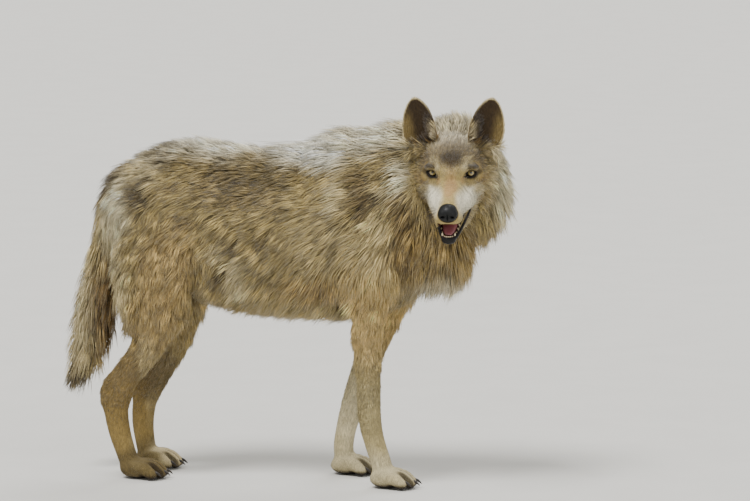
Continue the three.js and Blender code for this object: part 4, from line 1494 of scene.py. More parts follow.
class Skin:
    """The whole hide as one closed mesh."""

    x_lines = (
        (-470, -350, 5.5),
        (-350, -180, 4.6),
        (-180, 130, 6.2),
        (130, 335, 5.0),
        (335, 560, 2.6),
        (560, 600, 4.8),
    )
    y_lines = ((-270, -85, 2.5), (-85, -5, 3.2), (-5, 160, 5.5))
    z_lines = ((-12, 62, 3.4), (62, 555, 5.8), (555, 735, 2.5), (735, 872, 2.7))
    sole = 0.6
    far_side = 110  # past this the coat lies flatter, so that it stays within the model's box
    far_lift = 17

    def __init__(self, head: Head, limbs: Sequence[Limb | Head]) -> None:
        """Args: head is the head, and limbs are all the parts in the order in which they join."""
        self.head = head
        steps = [step for limb in limbs for step in limb.steps()]
        steps.append(Step(Above(self.sole), 2.0, Way.KEEP))
        self.field = Field(steps)
        net = Net(self.field, graded(*self.x_lines), graded(*self.y_lines), graded(*self.z_lines))
        self.points, self.quads = net.build()
        self.normals = Net.normals(self.points, self.quads)
        self.guides = [g for limb in limbs for g in limb.guides()]
        self.way, self.hair, self.lift = self.lie(self.points, self.normals)

    def lie(self, p: np.ndarray, normals: np.ndarray) -> tuple[np.ndarray, np.ndarray, np.ndarray]:
        """How the coat lies at points.

        Args:
            p: points on the skin.
            normals: the skin's normals there.

        Returns:
            The way of the hair along the skin, its length and its lift in degrees.
        """
        sums = np.zeros((len(p), 6))
        for g in self.guides:
            away = p - g.at
            w = 1 / (0.05 + np.einsum("ij,ij->i", away, away) / g.reach**2) ** 2.5
            sums += w[:, None] * np.array([*g.way, g.hair, g.lift, 1.0])
        way = unit(sums[:, :3])
        hair = sums[:, 3] / sums[:, 5]
        lift = sums[:, 4] / sums[:, 5]
        head_way, head_hair, head_lift, w = self.head.lie(p)
        way += (head_way - way) * w[:, None]
        hair += (head_hair - hair) * w
        lift += (head_lift - lift) * w
        ears = self.head.ears
        near = ears.near(p, 15)
        own_way, own_hair, own_lift = ears.lie(p[near])
        w = ears.on(p[near])
        way[near] += (own_way - way[near]) * w[:, None]
        hair[near] += (own_hair - hair[near]) * w
        lift[near] += (own_lift - lift[near]) * w
        way -= normals * (way * normals).sum(1)[:, None]
        lift = np.where(p[:, 1] > self.far_side, np.minimum(lift, self.far_lift), lift)
        return unit(way), hair, lift

    def bare(self, p: np.ndarray) -> tuple[np.ndarray, np.ndarray, np.ndarray]:
        """Where the skin has no coat.

        Args:
            p: points on the skin.

        Returns:
            How bare each is, its colour there, and its roughness.
        """
        head = self.head
        h = FACE.local(p)
        colour = np.tile(srgb(70, 58, 50), (len(p), 1))
        rough = np.full(len(p), 0.8)
        black = srgb(20, 18, 17)
        opening = np.min([cut.distance(p) for cut in (head.gape, head.bed, head.roof)], axis=0)
        f, l, t = h.T
        face = f > 5
        front = step_between(70, 92, f) * step_between(-98, -104, t) * step_between(24, 18, l)
        edge = np.minimum(*(lip.distance(p) for lip in head.lips))
        lip = np.maximum(step_between(6.5, 4.0, opening - 7 * front) * face, step_between(2.6, 1.2, edge))
        lip *= 1 - step_between(-98, -92, t) * (side_of_head(p) < -14) * step_between(0.4, 1.2, opening)
        inside = step_between(0.8, 0.2, opening) * face * step_between(112, 100, f)
        colour += (black - colour) * lip[:, None]
        colour += (srgb(96, 42, 40) - colour) * (inside * step_between(26, 19, l))[:, None]
        rough += (0.35 - rough) * lip
        rim = head.lids.bow(h[:, 1:] - np.array(head.eye[1:]))
        lid = step_between(3.4, 1.6, rim) * (f > -25) * (f < 20)
        colour += (black - colour) * lid[:, None]
        rough += (0.4 - rough) * lid
        nose = step_between(3.0, 1.0, Oval(Nose.at, (17, 21, 18), HEAD).distance(p))
        colour += (black - colour) * nose[:, None]
        pad = step_between(9, 4, p[:, 2])
        colour += (srgb(38, 34, 32) - colour) * pad[:, None]
        return np.max([lip, lid, nose, pad], axis=0), colour, rough

    def build(self, markings: Markings, nodes: Sequence[str]) -> bpy.types.Object:
        """Makes the skin.

        Args:
            markings: gives the coat's colours.
            nodes: the solids that the skin stands for.

        Returns:
            The skin's object.
        """
        made = new_mesh("skin", self.points, self.quads)
        under, _ = markings.colours(self.points)
        bare, colour, rough = self.bare(self.points)
        # Painted shade under the coat: the skin is darker the longer the hair over it.
        shade = np.clip(1.0 - 0.012 * self.hair, 0.45, 0.9)[:, None]
        paint(made, "colour", under * shade * (1 - bare[:, None]) + colour * bare[:, None])
        number(made, "rough", rough)
        finish = Finish(
            "hide",
            rough_paint="rough",
            specular=0.2,
            fleck_scale=620,
            fleck=0.4,
            stretch=0.16,
            bump=0.8,
            bump_depth=0.002,
        )
        made.data.materials.append(finish.make())
        hand_over(made, "coat", *nodes)
        return made


# ---------------------------------------------------------------- coat


class Region(Enum):
    """The pieces that the coat is made in."""

    FACE = "face"
    CHEEKS = "cheeks"
    RUFF = "ruff"
    SHOULDERS = "shoulders"
    BACK = "back"
    BELLY = "belly"
    RUMP = "rump"
    TAIL = "tail"
    FORELEGS = "forelegs"
    HINDLEGS = "hindlegs"


@dataclass(frozen=True)
class Tufts:
    """Roots of tufts, with all that their shape needs."""

    root: np.ndarray
    normal: np.ndarray
    way: np.ndarray
    hair: np.ndarray
    lift: np.ndarray
    colour: np.ndarray
    ticks: np.ndarray
    uv: np.ndarray

    def pick(self, chosen: np.ndarray) -> "Tufts":
        """The chosen tufts."""
        return Tufts(*(getattr(self, name)[chosen] for name in self.__dataclass_fields__))


class Coat:
    """The coat: tapering three-sided tufts, closed at root and tip."""

    patch = 0.003  # size of a tuft on the flat layout
    most_faces = 180000  # in one piece
    lowest = 0.4  # height that no tuft goes below
    short = 13.0  # hair under this length is one plain spike
    cover_at = (3, 6, 12, 30, 60, 90)
    cover = (0.35, 0.7, 1.45, 3.2, 4.4, 5.0)  # layers of tufts over the skin, by hair length

    def __init__(self, skin: Skin, markings: Markings, share: float = 1.0) -> None:
        """Sets up the coat.

        Args:
            skin: what the coat grows on.
            markings: gives its colours.
            share: the part of the tufts that is made.
        """
        self.skin = skin
        self.markings = markings
        self.share = share
        self.random = np.random.default_rng(SEED)
        self.finish = Finish("fur", fleck_scale=700, fleck=0.12, rough=0.62, specular=0.22, sheen=0.15).make()

    @staticmethod
    def width(hair: np.ndarray) -> np.ndarray:
        """How wide a tuft is at its root, by its length."""
        return np.clip(0.72 + 0.015 * hair, 0.8, 1.9)

    def plain(self, t: Tufts) -> np.ndarray:
        """Which tufts are one plain spike: the shorter ones, with no sharp line between the two kinds."""
        return t.hair * (1 + 0.5 * noise(t.root, 1.7, 31)) < self.short

    def scatter(self) -> Tufts:
        """Roots spread over the skin, closer where the hair is short."""
        skin = self.skin
        tris = np.concatenate([skin.quads[:, [0, 1, 2]], skin.quads[:, [0, 2, 3]]])
        order = np.lexsort(tuple(skin.points[tris[:, 0]][:, k] // 24 for k in (0, 1, 2)))
        tris = tris[order]
        corners = skin.points[tris]
        a, b, c = (corners[:, k] for k in range(3))
        area = 0.5 * np.linalg.norm(np.cross(b - a, c - a), axis=1)
        middle = corners.mean(1)
        hair = skin.hair[tris].mean(1)
        bare, _, _ = skin.bare(middle)
        density = np.interp(hair, self.cover_at, self.cover) / (0.5 * self.width(hair) * hair)
        on_face = step_between(6, -6, Oval((-20, 0, -10), (125, 100, 115), HEAD).distance(middle))
        density *= 1 + 1.6 * on_face * step_between(30, 18, hair)
        density *= (bare < 0.3) * self.share
        total = np.cumsum(area * density)
        picks = np.arange(0.5, total[-1]) + self.random.uniform(-0.45, 0.45, int(total[-1] + 0.5))
        face = np.searchsorted(total, np.clip(picks, 0, total[-1] - 1e-6))
        a, b = self.random.random((2, len(face)))
        flip = a + b > 1
        a[flip], b[flip] = 1 - a[flip], 1 - b[flip]
        w = np.stack([1 - a - b, a, b], 1)[:, :, None]
        root = (corners[face] * w).sum(1)
        normal = unit((skin.normals[tris[face]] * w).sum(1))
        way = unit((skin.way[tris[face]] * w).sum(1))
        hair = (skin.hair[tris[face]] * w[:, :, 0]).sum(1)
        lift = (skin.lift[tris[face]] * w[:, :, 0]).sum(1)
        seen = root + way * (0.6 * hair * (hair > 12))[:, None]
        colour, ticks = self.markings.colours(seen)
        return Tufts(root, normal, way, hair, lift, colour, ticks, self.unwrap(root))

    def unwrap(self, p: np.ndarray) -> np.ndarray:
        """Places on a flat layout of the skin: a band for each limb, which goes round and along it."""
        tubes = [TRUNK.tube, NECK.tube, TAIL.tube, *(leg.tube for leg in LEGS)]
        lows = (0.02, 0.38, 0.52, 0.62, 0.68, 0.74, 0.81)
        highs = (0.36, 0.50, 0.60, 0.66, 0.72, 0.79, 0.86)
        best = np.full(len(p), FAR)
        uv = np.zeros((len(p), 2))
        for tube, low, high in zip(tubes, lows, highs):
            d, along = tube.measure(p)
            stations = np.linspace(0, 1, len(tube.rings))
            q = p - np.stack([np.interp(along, stations, tube.rings[:, k]) for k in range(3)], 1)
            ahead = q[:, 2] if tube in (TRUNK.tube, NECK.tube) else q[:, 0]
            turn = np.arctan2(q[:, 1], ahead) / (2 * math.pi) + 0.5
            closer = d < best
            best[closer] = d[closer]
            uv[closer] = np.stack([0.02 + 0.96 * turn, low + (high - low) * along], 1)[closer]
        h = HEAD.local(p)
        on_head = Oval((-20, 0, -10), (120, 95, 110), HEAD).distance(p) < 8
        turn = np.arctan2(h[:, 1], h[:, 2] + 20) / (2 * math.pi) + 0.5
        front = 0.88 + 0.1 * np.clip((h[:, 0] + 130) / 270, 0, 1)
        uv[on_head] = np.stack([0.02 + 0.96 * turn, front], 1)[on_head]
        return uv

    def regions(self, tufts: Tufts) -> dict[Region, np.ndarray]:
        """Which tufts belong to each piece."""
        p = tufts.root
        legs = [leg.tube.measure(p) for leg in LEGS]
        trunk = TRUNK.tube.distance(p)
        fore = (np.minimum(legs[0][0], legs[1][0]) < trunk) & (p[:, 2] < 400)
        hind = (np.minimum(legs[2][0], legs[3][0]) < trunk) & (p[:, 2] < 470)
        tail = TAIL.tube.distance(p) < np.minimum(trunk, 12)
        on_head = Oval((-20, 0, -10), (125, 100, 125), HEAD).distance(p) < 0
        face = on_head & (tufts.hair < 17)
        x, z = p[:, 0], p[:, 2]
        names = np.select(
            [face, on_head, tail, hind, fore, x > 300, x > 150, x < -150, z < 480],
            [0, 1, 7, 9, 8, 2, 3, 6, 5],
            4,
        )
        return {region: names == i for i, region in enumerate(Region)}

    def locks(self, t: Tufts) -> np.ndarray:
        """The lock that each tuft belongs to: neighbours in cells whose size follows the hair's length."""
        cell = np.clip(t.hair * 0.22, 3, 13)
        size = 2 ** (np.round(np.log2(cell) * 2) / 2)
        stray = np.stack([noise(t.root, 14, s) for s in (21, 22, 23)], 1) * size[:, None] * 0.6
        key = np.floor((t.root + stray) / size[:, None]).astype(np.int64)
        grade = np.round(size * 16).astype(np.int64)
        return np.unique(mixed(key, grade * 7919), return_inverse=True)[1]

    def shape(self, t: Tufts) -> tuple[np.ndarray, np.ndarray, np.ndarray, np.ndarray]:
        """Builds the tufts' meshes.

        Args:
            t: the tufts.

        Returns:
            Points, triangles, colours of the points, and the place of each point on the flat layout.
        """
        rnd = self.random
        n = len(t.root)
        lock = self.locks(t)
        each = np.clip(rnd.normal(0, 1, (lock.max() + 1, 4)), -1.8, 1.8)[lock]
        long_part = np.clip(t.hair / 50, 0, 1)
        hair = t.hair * (1 + 0.12 * each[:, 0]) * rnd.uniform(0.8, 1.08, n)
        side0 = unit(np.cross(t.normal, t.way))
        sway = rnd.normal(0, 0.15, n) + 0.3 * noise(t.root, 22, 11) + 0.17 * each[:, 1]
        way = unit(t.way + side0 * sway[:, None])
        waver = (6 * noise(t.root, 30, 12) + 4 * each[:, 2]) * long_part
        lift = np.radians(t.lift * rnd.uniform(0.75, 1.25, n) + waver)
        start = unit(way * np.cos(lift)[:, None] + t.normal * np.sin(lift)[:, None])
        sag = np.clip(hair / 90, 0, 1)[:, None] * np.array([0, 0, -0.3])
        later = unit(way * np.cos(0.4 * lift)[:, None] + t.normal * np.sin(0.4 * lift)[:, None] + sag)
        bend, turn = 0.34, 0.7  # where along a tuft it changes its way
        length = hair[:, None]
        p0 = t.root - t.normal * np.minimum(1.2, 0.12 * hair)[:, None]
        p1 = p0 + start * length * bend
        p2 = p1 + unit(0.5 * start + 0.5 * later) * length * (turn - bend)
        tip = p2 + later * length * (1.0 - turn)
        members = np.bincount(lock)
        centre = np.stack([np.bincount(lock, tip[:, k]) for k in range(3)], 1) / members[:, None]
        pull = np.interp(hair, (9, 30), (0.1, 0.58))[:, None] * rnd.uniform(0.2, 1, (n, 1))
        drawn = (centre[lock] - tip) * pull
        p2 = p2 + 0.45 * drawn
        tip = tip + drawn
        for p in (p0, p1, p2, tip):
            p[:, 2] = np.maximum(p[:, 2], self.skin.sole)
        side = unit(np.cross(start, t.normal) + t.normal * rnd.normal(0, 0.25, n)[:, None])
        up = np.cross(side, start)
        w = self.width(t.hair) * rnd.uniform(0.7, 1.25, n)
        # The root colours hold painted shade, darker under longer hair.
        shaded_root_tone, mid_tone, tip_tone = self.tones(t, each[:, 3])
        short = self.plain(t)
        belly = 0.4 * p1 + 0.6 * p2
        low_tone = 0.55 * shaded_root_tone + 0.45 * mid_tone
        parts = [
            self.spikes(t, short, (p0, tip), (w,), side, up, (low_tone, tip_tone)),
            self.spikes(
                t, ~short, (p0, belly, tip), (0.85 * w, 0.95 * w), side, up, (shaded_root_tone, mid_tone, tip_tone)
            ),
        ]
        (points, faces, *rest), (more_points, more_faces, *more) = parts
        faces = np.concatenate([faces, more_faces + len(points)])
        return np.concatenate([points, more_points]), faces, *map(np.concatenate, zip(rest, more))

    def tones(self, t: Tufts, of_lock: np.ndarray) -> tuple[np.ndarray, np.ndarray, np.ndarray]:
        """Colours at the root, middle and tip of each tuft. The roots are painted darker, the more so the longer the
        hair: painted shade deep in the coat.

        Args:
            t: the tufts.
            of_lock: a random value that all tufts of a lock share.

        Returns:
            Three linear colours for each tuft.
        """
        rnd = self.random
        n = len(t.root)
        long_part = np.clip(t.hair / 45, 0, 1)
        own = rnd.normal(0, 0.28, n) * np.where(t.hair < 16, 1, 0.48) + (0.09 + 0.23 * long_part) * of_lock
        middle = t.colour * np.exp(own)[:, None]
        # Painted shade at the roots: darker under longer hair, less so where the coat is pale.
        shade = np.interp(t.hair, (6, 20, 50), (0.8, 0.56, 0.32))
        shade += (0.75 - shade) * step_between(0.3, 0.75, t.colour[:, 0])
        root = middle * shade[:, None]
        dark = rnd.random(n) < t.ticks * (0.75 + 0.35 * (of_lock < 0))
        pale = ~dark & (rnd.random(n) < 0.14 + 0.3 * long_part)
        pale &= (t.colour[:, 0] > 0.12) & (t.colour[:, 0] < 0.6)
        tip = np.where(dark[:, None], srgb(46, 36, 25), middle * 1.18)
        tip = np.where(pale[:, None], 0.5 * tip + 0.5 * srgb(224, 212, 182), tip)
        return np.clip(root, 0, 1), np.clip(middle, 0, 1), np.clip(tip, 0, 1)

    def spikes(
        self,
        t: Tufts,
        chosen: np.ndarray,
        rings: Sequence[np.ndarray],
        widths: Sequence[np.ndarray],
        side: np.ndarray,
        up: np.ndarray,
        colours: Sequence[np.ndarray],
    ) -> tuple[np.ndarray, np.ndarray, np.ndarray, np.ndarray]:
        """Closed tapering spikes through rings.

        Args:
            t: the tufts.
            chosen: which of them to build.
            rings: centre of each ring, the last being the tip.
            widths: width of each ring but the tip.
            side: the direction of the width.
            up: the direction of the thickness.
            colours: colour at each ring.

        Returns:
            Points, triangles, colours and places on the flat layout.
        """
        n = int(chosen.sum())
        per = 3 * len(widths) + 1
        points = np.empty((n, per, 3))
        colour = np.empty((n, per, 3))
        s, u = side[chosen], up[chosen]
        for i, w in enumerate(widths):
            centre = rings[i][chosen]
            half = 0.5 * w[chosen][:, None]
            points[:, 3 * i] = centre - s * half
            points[:, 3 * i + 1] = centre + s * half
            points[:, 3 * i + 2] = centre + u * half * 0.8
            colour[:, 3 * i : 3 * i + 3] = colours[i][chosen][:, None]
        points[:, -1] = rings[-1][chosen]
        colour[:, -1] = colours[-1][chosen]
        points[:, :, 2] = np.maximum(points[:, :, 2], self.lowest)
        tris = [(0, 1, 2)]
        for i in range(len(widths) - 1):
            for a, b in ((0, 1), (1, 2), (2, 0)):
                p, q = 3 * i + a, 3 * i + b
                tris += [(p, p + 3, q), (q, p + 3, q + 3)]
        top = 3 * (len(widths) - 1)
        tris += [(top + a, per - 1, top + b) for a, b in ((0, 1), (1, 2), (2, 0))]
        faces = (np.arange(n)[:, None, None] * per + np.array(tris)[None]).reshape(-1, 3)
        spread = np.zeros((per, 2))
        for i in range(len(widths)):
            for j, (a, b) in enumerate(((-0.5, 0), (0.5, 0), (0, 0.15))):
                spread[3 * i + j] = (a * (1 - i / len(widths)), b - 0.5 + i / len(widths))
        spread[-1] = (0, 0.5)
        uv = t.uv[chosen][:, None] + spread[None] * self.patch
        return points.reshape(-1, 3), faces, colour.reshape(-1, 3), uv.reshape(-1, 2)

    def build(self) -> None:
        """Makes every piece of the coat."""
        tufts = self.scatter()
        LOG.info("%d tufts", len(tufts.root))
        for region, chosen in self.regions(tufts).items():
            where = np.flatnonzero(chosen)
            if not len(where):
                continue
            cost = np.cumsum(np.where(self.plain(tufts.pick(where)), 4, 10))
            parts = int(cost[-1] // self.most_faces) + 1
            ends = np.searchsorted(cost, cost[-1] * np.arange(1, parts) / parts)
            for i, part in enumerate(np.split(where, ends)):
                name = f"coat_{region.value}" if parts == 1 else f"coat_{region.value}_{i + 1}"
                self.piece(name, tufts.pick(part))

    def piece(self, name: str, tufts: Tufts) -> None:
        """Makes one piece of the coat."""
        points, faces, colours, uvs = self.shape(tufts)
        made = new_mesh(name, points, faces)
        paint(made, "colour", colours)
        layer = made.data.uv_layers.new(name="OFBake")
        layer.data.foreach_set("uv", uvs[faces.ravel()].astype(np.float32).ravel())
        made.data.materials.append(self.finish)
        hand_over(made, "coat")


# ---------------------------------------------------------------- pieces made along paths


def rod_tree() -> bpy.types.NodeTree:
    """A Geometry Nodes tree that makes round rods along a mesh's edges, with the radius given there."""
    tree = bpy.data.node_groups.new("rods", "GeometryNodeTree")
    group_interface(
        tree,
        (
            ("Geometry", "INPUT", "NodeSocketGeometry", None),
            ("Sides", "INPUT", "NodeSocketInt", 8),
            ("Finish", "INPUT", "NodeSocketMaterial", None),
            ("Geometry", "OUTPUT", "NodeSocketGeometry", None),
        ),
    )
    n = Nodes(tree)
    given = n.add("NodeGroupInput").outputs
    radius = n.add("GeometryNodeInputNamedAttribute", Name="radius_m")
    curve = n.add("GeometryNodeMeshToCurve", Mesh=given["Geometry"])
    ring = n.add("GeometryNodeCurvePrimitiveCircle", Resolution=given["Sides"], Radius=1.0)
    rod = n.add(
        "GeometryNodeCurveToMesh",
        Curve=curve.outputs[0],
        Profile_Curve=ring.outputs["Curve"],
        Scale=radius.outputs["Attribute"],
        Fill_Caps=True,
    )
    smooth = n.add("GeometryNodeSetShadeSmooth", Geometry=rod.outputs[0])
    real = n.add("GeometryNodeRealizeInstances", Geometry=smooth.outputs[0])
    dressed = n.add("GeometryNodeSetMaterial", Geometry=real.outputs[0], Material=given["Finish"])
    n.add("NodeGroupOutput", Geometry=dressed.outputs[0])
    return tree


class Rods:
    """Makes whiskers, claws, teeth and eyelid edges: rods along paths, with a radius at each point."""

    def __init__(self) -> None:
        """Builds the tree once."""
        self.tree = rod_tree()

    def make(
        self,
        name: str,
        paths: Iterable[Sequence[Sequence[float]]],
        finish: bpy.types.Material,
        sides: int,
        closed: bool = False,
    ) -> bpy.types.Object:
        """Makes one piece.

        Args:
            name: the piece's name.
            paths: for each rod, rows of x, y, z and radius, in millimetres.
            finish: its material.
            sides: faces round a rod.
            closed: whether each path is a loop.

        Returns:
            The finished mesh object.
        """
        rows, edges = [], []
        for path in paths:
            start = len(rows)
            rows += [tuple(row) for row in path]
            edges += [(i, i + 1) for i in range(start, len(rows) - 1)]
            if closed:
                edges.append((len(rows) - 1, start))
        table = np.array(rows, float)
        mesh = bpy.data.meshes.new(name)
        mesh.from_pydata(((table[:, :3] + SHIFT) * MM).tolist(), edges, [])
        layer = mesh.attributes.new("radius_m", "FLOAT", "POINT")
        layer.data.foreach_set("value", (table[:, 3] * MM).astype(np.float32))
        paths_object = stand(f"{name}_paths", mesh)
        modifier = paths_object.modifiers.new("rods", "NODES")
        modifier.node_group = self.tree
        sockets = {s.name: s.identifier for s in self.tree.interface.items_tree if s.in_out == "INPUT"}
        modifier[sockets["Sides"]] = sides
        modifier[sockets["Finish"]] = finish
        graph = bpy.context.evaluated_depsgraph_get()
        baked = bpy.data.meshes.new_from_object(paths_object.evaluated_get(graph))
        bpy.data.objects.remove(paths_object)
        if not baked.materials:
            baked.materials.append(finish)
        return stand(name, baked)


# ---------------------------------------------------------------- eyes, nose, mouth, claws and whiskers


def globe(rows: int, columns: int) -> tuple[np.ndarray, np.ndarray, np.ndarray]:
    """The layout of a closed round shape: rings of points from pole to pole, then the two poles.

    Args:
        rows: steps from pole to pole.
        columns: points round a ring.

    Returns:
        Each ring point's angle from the first pole and round the axis, and the triangles.
    """
    angles = np.linspace(0, math.pi, rows + 1)[1:-1]
    a, b = np.meshgrid(angles, np.linspace(0, 2 * math.pi, columns, endpoint=False), indexing="ij")
    tris = []
    for i in range(rows - 2):
        for j in range(columns):
            p, q = i * columns + j, i * columns + (j + 1) % columns
            tris += [(p, p + columns, q), (q, p + columns, q + columns)]
    low, last = (rows - 2) * columns, (rows - 1) * columns
    for j in range(columns):
        k = (j + 1) % columns
        tris += [(last, j, k), (last + 1, low + k, low + j)]
    return a, b, np.array(tris)


def placed(at: Sequence[float], rows: Iterable[Sequence[float]], side: int = 1) -> Rows:
    """A rod's path in the head: rows of steps ahead, outwards and up from a point, with the radius."""
    return [(*HEAD.place(np.array(at) + [f, side * l, t]), r) for f, l, t, r in rows]


@dataclass
class Eyes:
    """Both eyes, which look at the same point ahead of the head, and the dark edges of their lids."""

    head: Head
    gaze: Triple = (0.960, 0.085, 0.267)
    bulge: float = 0.9
    rings: int = 40

    def build(self, rods: Rods) -> None:
        """Makes the eyeballs and lid edges."""
        finish = EyeFinish().make()
        for side, word in ((1, "left"), (-1, "right")):
            centre = np.array(self.head.eye) * [1, side, 1]
            made = self.ball(f"eyeball_{word}", centre, np.array(self.gaze))
            made.data.materials.append(finish)
            hand_over(made, "eye", f"eye_{word}")
        lid = Finish("lid_edge", paint=None, colour=(18, 15, 14), rough=0.35, specular=0.5).make()
        edge = rods.make("lid_edges", [self.lid_path(side) for side in (1, -1)], lid, 8, closed=True)
        hand_over(edge, "nose")

    def ball(self, name: str, centre: np.ndarray, gaze: np.ndarray) -> bpy.types.Object:
        """One eyeball, whose poles lie on the line of sight, with the bulge of the cornea."""
        gaze = unit(gaze)
        side = unit(np.cross([0, 0, 1], gaze))
        up = np.cross(gaze, side)
        angle, turn, tris = globe(self.rings, self.rings)
        a, b = angle[..., None], turn[..., None]
        radius = self.head.eye_radius - 0.1
        way = np.cos(a) * gaze + np.sin(a) * (np.cos(b) * side + np.sin(b) * up)
        grid = centre + way * (radius + self.bulge * np.exp(-((a / 0.42) ** 2)))
        front = centre + gaze * (radius + self.bulge)
        back = centre - gaze * radius
        made = new_mesh(name, HEAD.place(np.vstack([grid.reshape(-1, 3), front, back])), tris)
        number(made, "angle", np.concatenate([angle.ravel(), [0, math.pi]]))
        return made

    def lid_path(self, side: int) -> Rows:
        """The edge of one eye's lids, where they lie on the eyeball."""
        lids = self.head.lids
        flat = []
        for u in np.linspace(lids.half, -lids.half, 15)[:-1]:
            flat.append((u, math.sqrt(lids.over**2 - u**2) - lids.over + lids.rise, 1.25))
        for u in np.linspace(-lids.half, lids.half, 15)[:-1]:
            flat.append((u, lids.under - lids.drop - math.sqrt(lids.under**2 - u**2), 0.95))
        rows = []
        for u, v, r in flat:
            across = u * math.cos(lids.slant) - v * math.sin(lids.slant)
            up = u * math.sin(lids.slant) + v * math.cos(lids.slant)
            ball = self.head.eye_radius + 0.5
            out = math.sqrt(max(ball**2 - across**2 - up**2, 16.0))
            local = np.array(self.head.eye) + [out, across, up]
            rows.append((*HEAD.place(local * [1, side, 1]), r))
        return rows


@dataclass
class Nose:
    """The nose pad, with nostrils and the groove under them."""

    at: Triple = (121, 0, -57)
    size: Triple = (17, 20.5, 17.5)
    grid: float = 1.1

    def build(self) -> None:
        """Makes the pad."""
        f, _, t = self.at
        nostril = [(f + 15, 8.5, t - 4, 2.6, 3.2), (f + 8, 15, t - 5, 2.0, 3), (f - 2, 22, t - 6, 1.6, 3)]
        steps = [
            Step(Oval(self.at, self.size, HEAD), 1),
            Step(Oval((f - 8, 0, t + 8), (17, 18, 12), HEAD), 6),
            Step(Oval((f + 4, 11, t - 2), (11, 9.5, 11), FACE), 4),
            Step(Tube(nostril, FACE), 2.5, Way.CARVE),
            Step(Oval((f + 18, 0, t - 10), (8, 1.3, 13), HEAD), 2, Way.CARVE),
        ]
        room = Oval(self.at, (24, 26, 24), HEAD)
        lines = [np.arange(a, b, self.grid) for a, b in zip(room.low, room.high)]
        made = new_mesh("nose_pad", *Net(Field(steps), *lines).build(3))
        finish = Finish(
            "nose",
            paint=None,
            colour=(10, 11, 11),
            rough=0.5,
            specular=0.25,
            coat=0.05,
            fleck_scale=1500,
            fleck=0.25,
            bump=0.5,
            bump_depth=0.0006,
        )
        made.data.materials.append(finish.make())
        hand_over(made, "nose", "nose")


@dataclass
class Mouth:
    """The tongue and the lower teeth."""

    tongue_from: tuple[float, float] = (22, -88)
    tongue_to: tuple[float, float] = (97, -110.5)
    wide: float = 15.5
    thick: float = 4.6
    canine_at: Triple = (97, 12.5, -118)

    def tongue(self) -> bpy.types.Object:
        """Makes the tongue: a flat rounded bar with a groove along it."""
        f0, t0 = self.tongue_from
        f1, t1 = self.tongue_to
        way = unit(np.array([f1 - f0, 0, t1 - t0]))
        up = np.cross(way, LEFT) * -1
        long, wide = 0.5 * math.hypot(f1 - f0, t1 - t0), self.wide
        a, b, tris = globe(28, 32)
        s = -np.cos(a)
        ring = np.sin(a) ** 0.6
        across = np.cos(b) * ring
        high = np.sin(b) * ring
        groove = 1.8 * np.exp(-((across * wide / 3.0) ** 2)) * (high > 0) * ring
        height = high * self.thick - groove + 1.5 * across**2
        centre = np.array([(f0 + f1) / 2, 0, (t0 + t1) / 2])
        body = centre + s[..., None] * long * way
        body += (across * wide * (1 - 0.22 * s))[..., None] * LEFT
        body += height[..., None] * up
        ends = np.array([centre - long * way, centre + long * way])
        points = HEAD.place(np.vstack([body.reshape(-1, 3), ends]))
        return new_mesh("tongue_flesh", points, tris[:, [0, 2, 1]])

    def build(self, rods: Rods) -> None:
        """Makes the tongue and the teeth."""
        made = self.tongue()
        wet = Finish(
            "tongue",
            paint=None,
            colour=(152, 86, 90),
            rough=0.34,
            specular=0.5,
            coat=0.3,
            fleck_scale=2200,
            fleck=0.12,
            bump=0.4,
            bump_depth=0.0005,
            subsurface=0.2,
        )
        made.data.materials.append(wet.make())
        hand_over(made, "tongue", "tongue")
        tooth = (214, 198, 160)
        enamel = Finish("teeth", paint=None, colour=tooth, rough=0.3, specular=0.5, coat=0.3, fleck=0.06)
        teeth = rods.make("lower_teeth", self.teeth(), enamel.make(), 12)
        hand_over(teeth, "claw")

    def teeth(self) -> list[Rows]:
        """Paths of the canines, the incisors between them and a few teeth behind."""
        canine = [(0, 0, 0, 3.0), (0.6, 0.4, 4.5, 2.7), (1.0, 0.9, 8.5, 2.1)]
        canine += [(0.4, 1.2, 11, 1.3), (-0.6, 1.3, 13, 0.4)]
        incisor = ((0, 0, 0, 1.9), (0.4, 0, 3.6, 2.0), (0.5, 0, 5.6, 1.6), (0.5, 0, 6.6, 0.8))
        f, l, t = self.canine_at
        out = []
        for side in (-1, 1):
            out.append(placed((f, side * l, t), canine, side))
            for i in range(3):
                rows = ((0, 0, 0, 3.2), (0, 0, 3.5, 3.0), (0, 0, 6.5 + i, 0.6))
                out.append(placed((80 - 13 * i, side * (15.5 + 2.0 * i), -114 + 4.2 * i), rows))
        out += [placed((105 - 0.9 * i * i, 3.9 * i, -117.5), incisor) for i in range(-2, 3)]
        return out


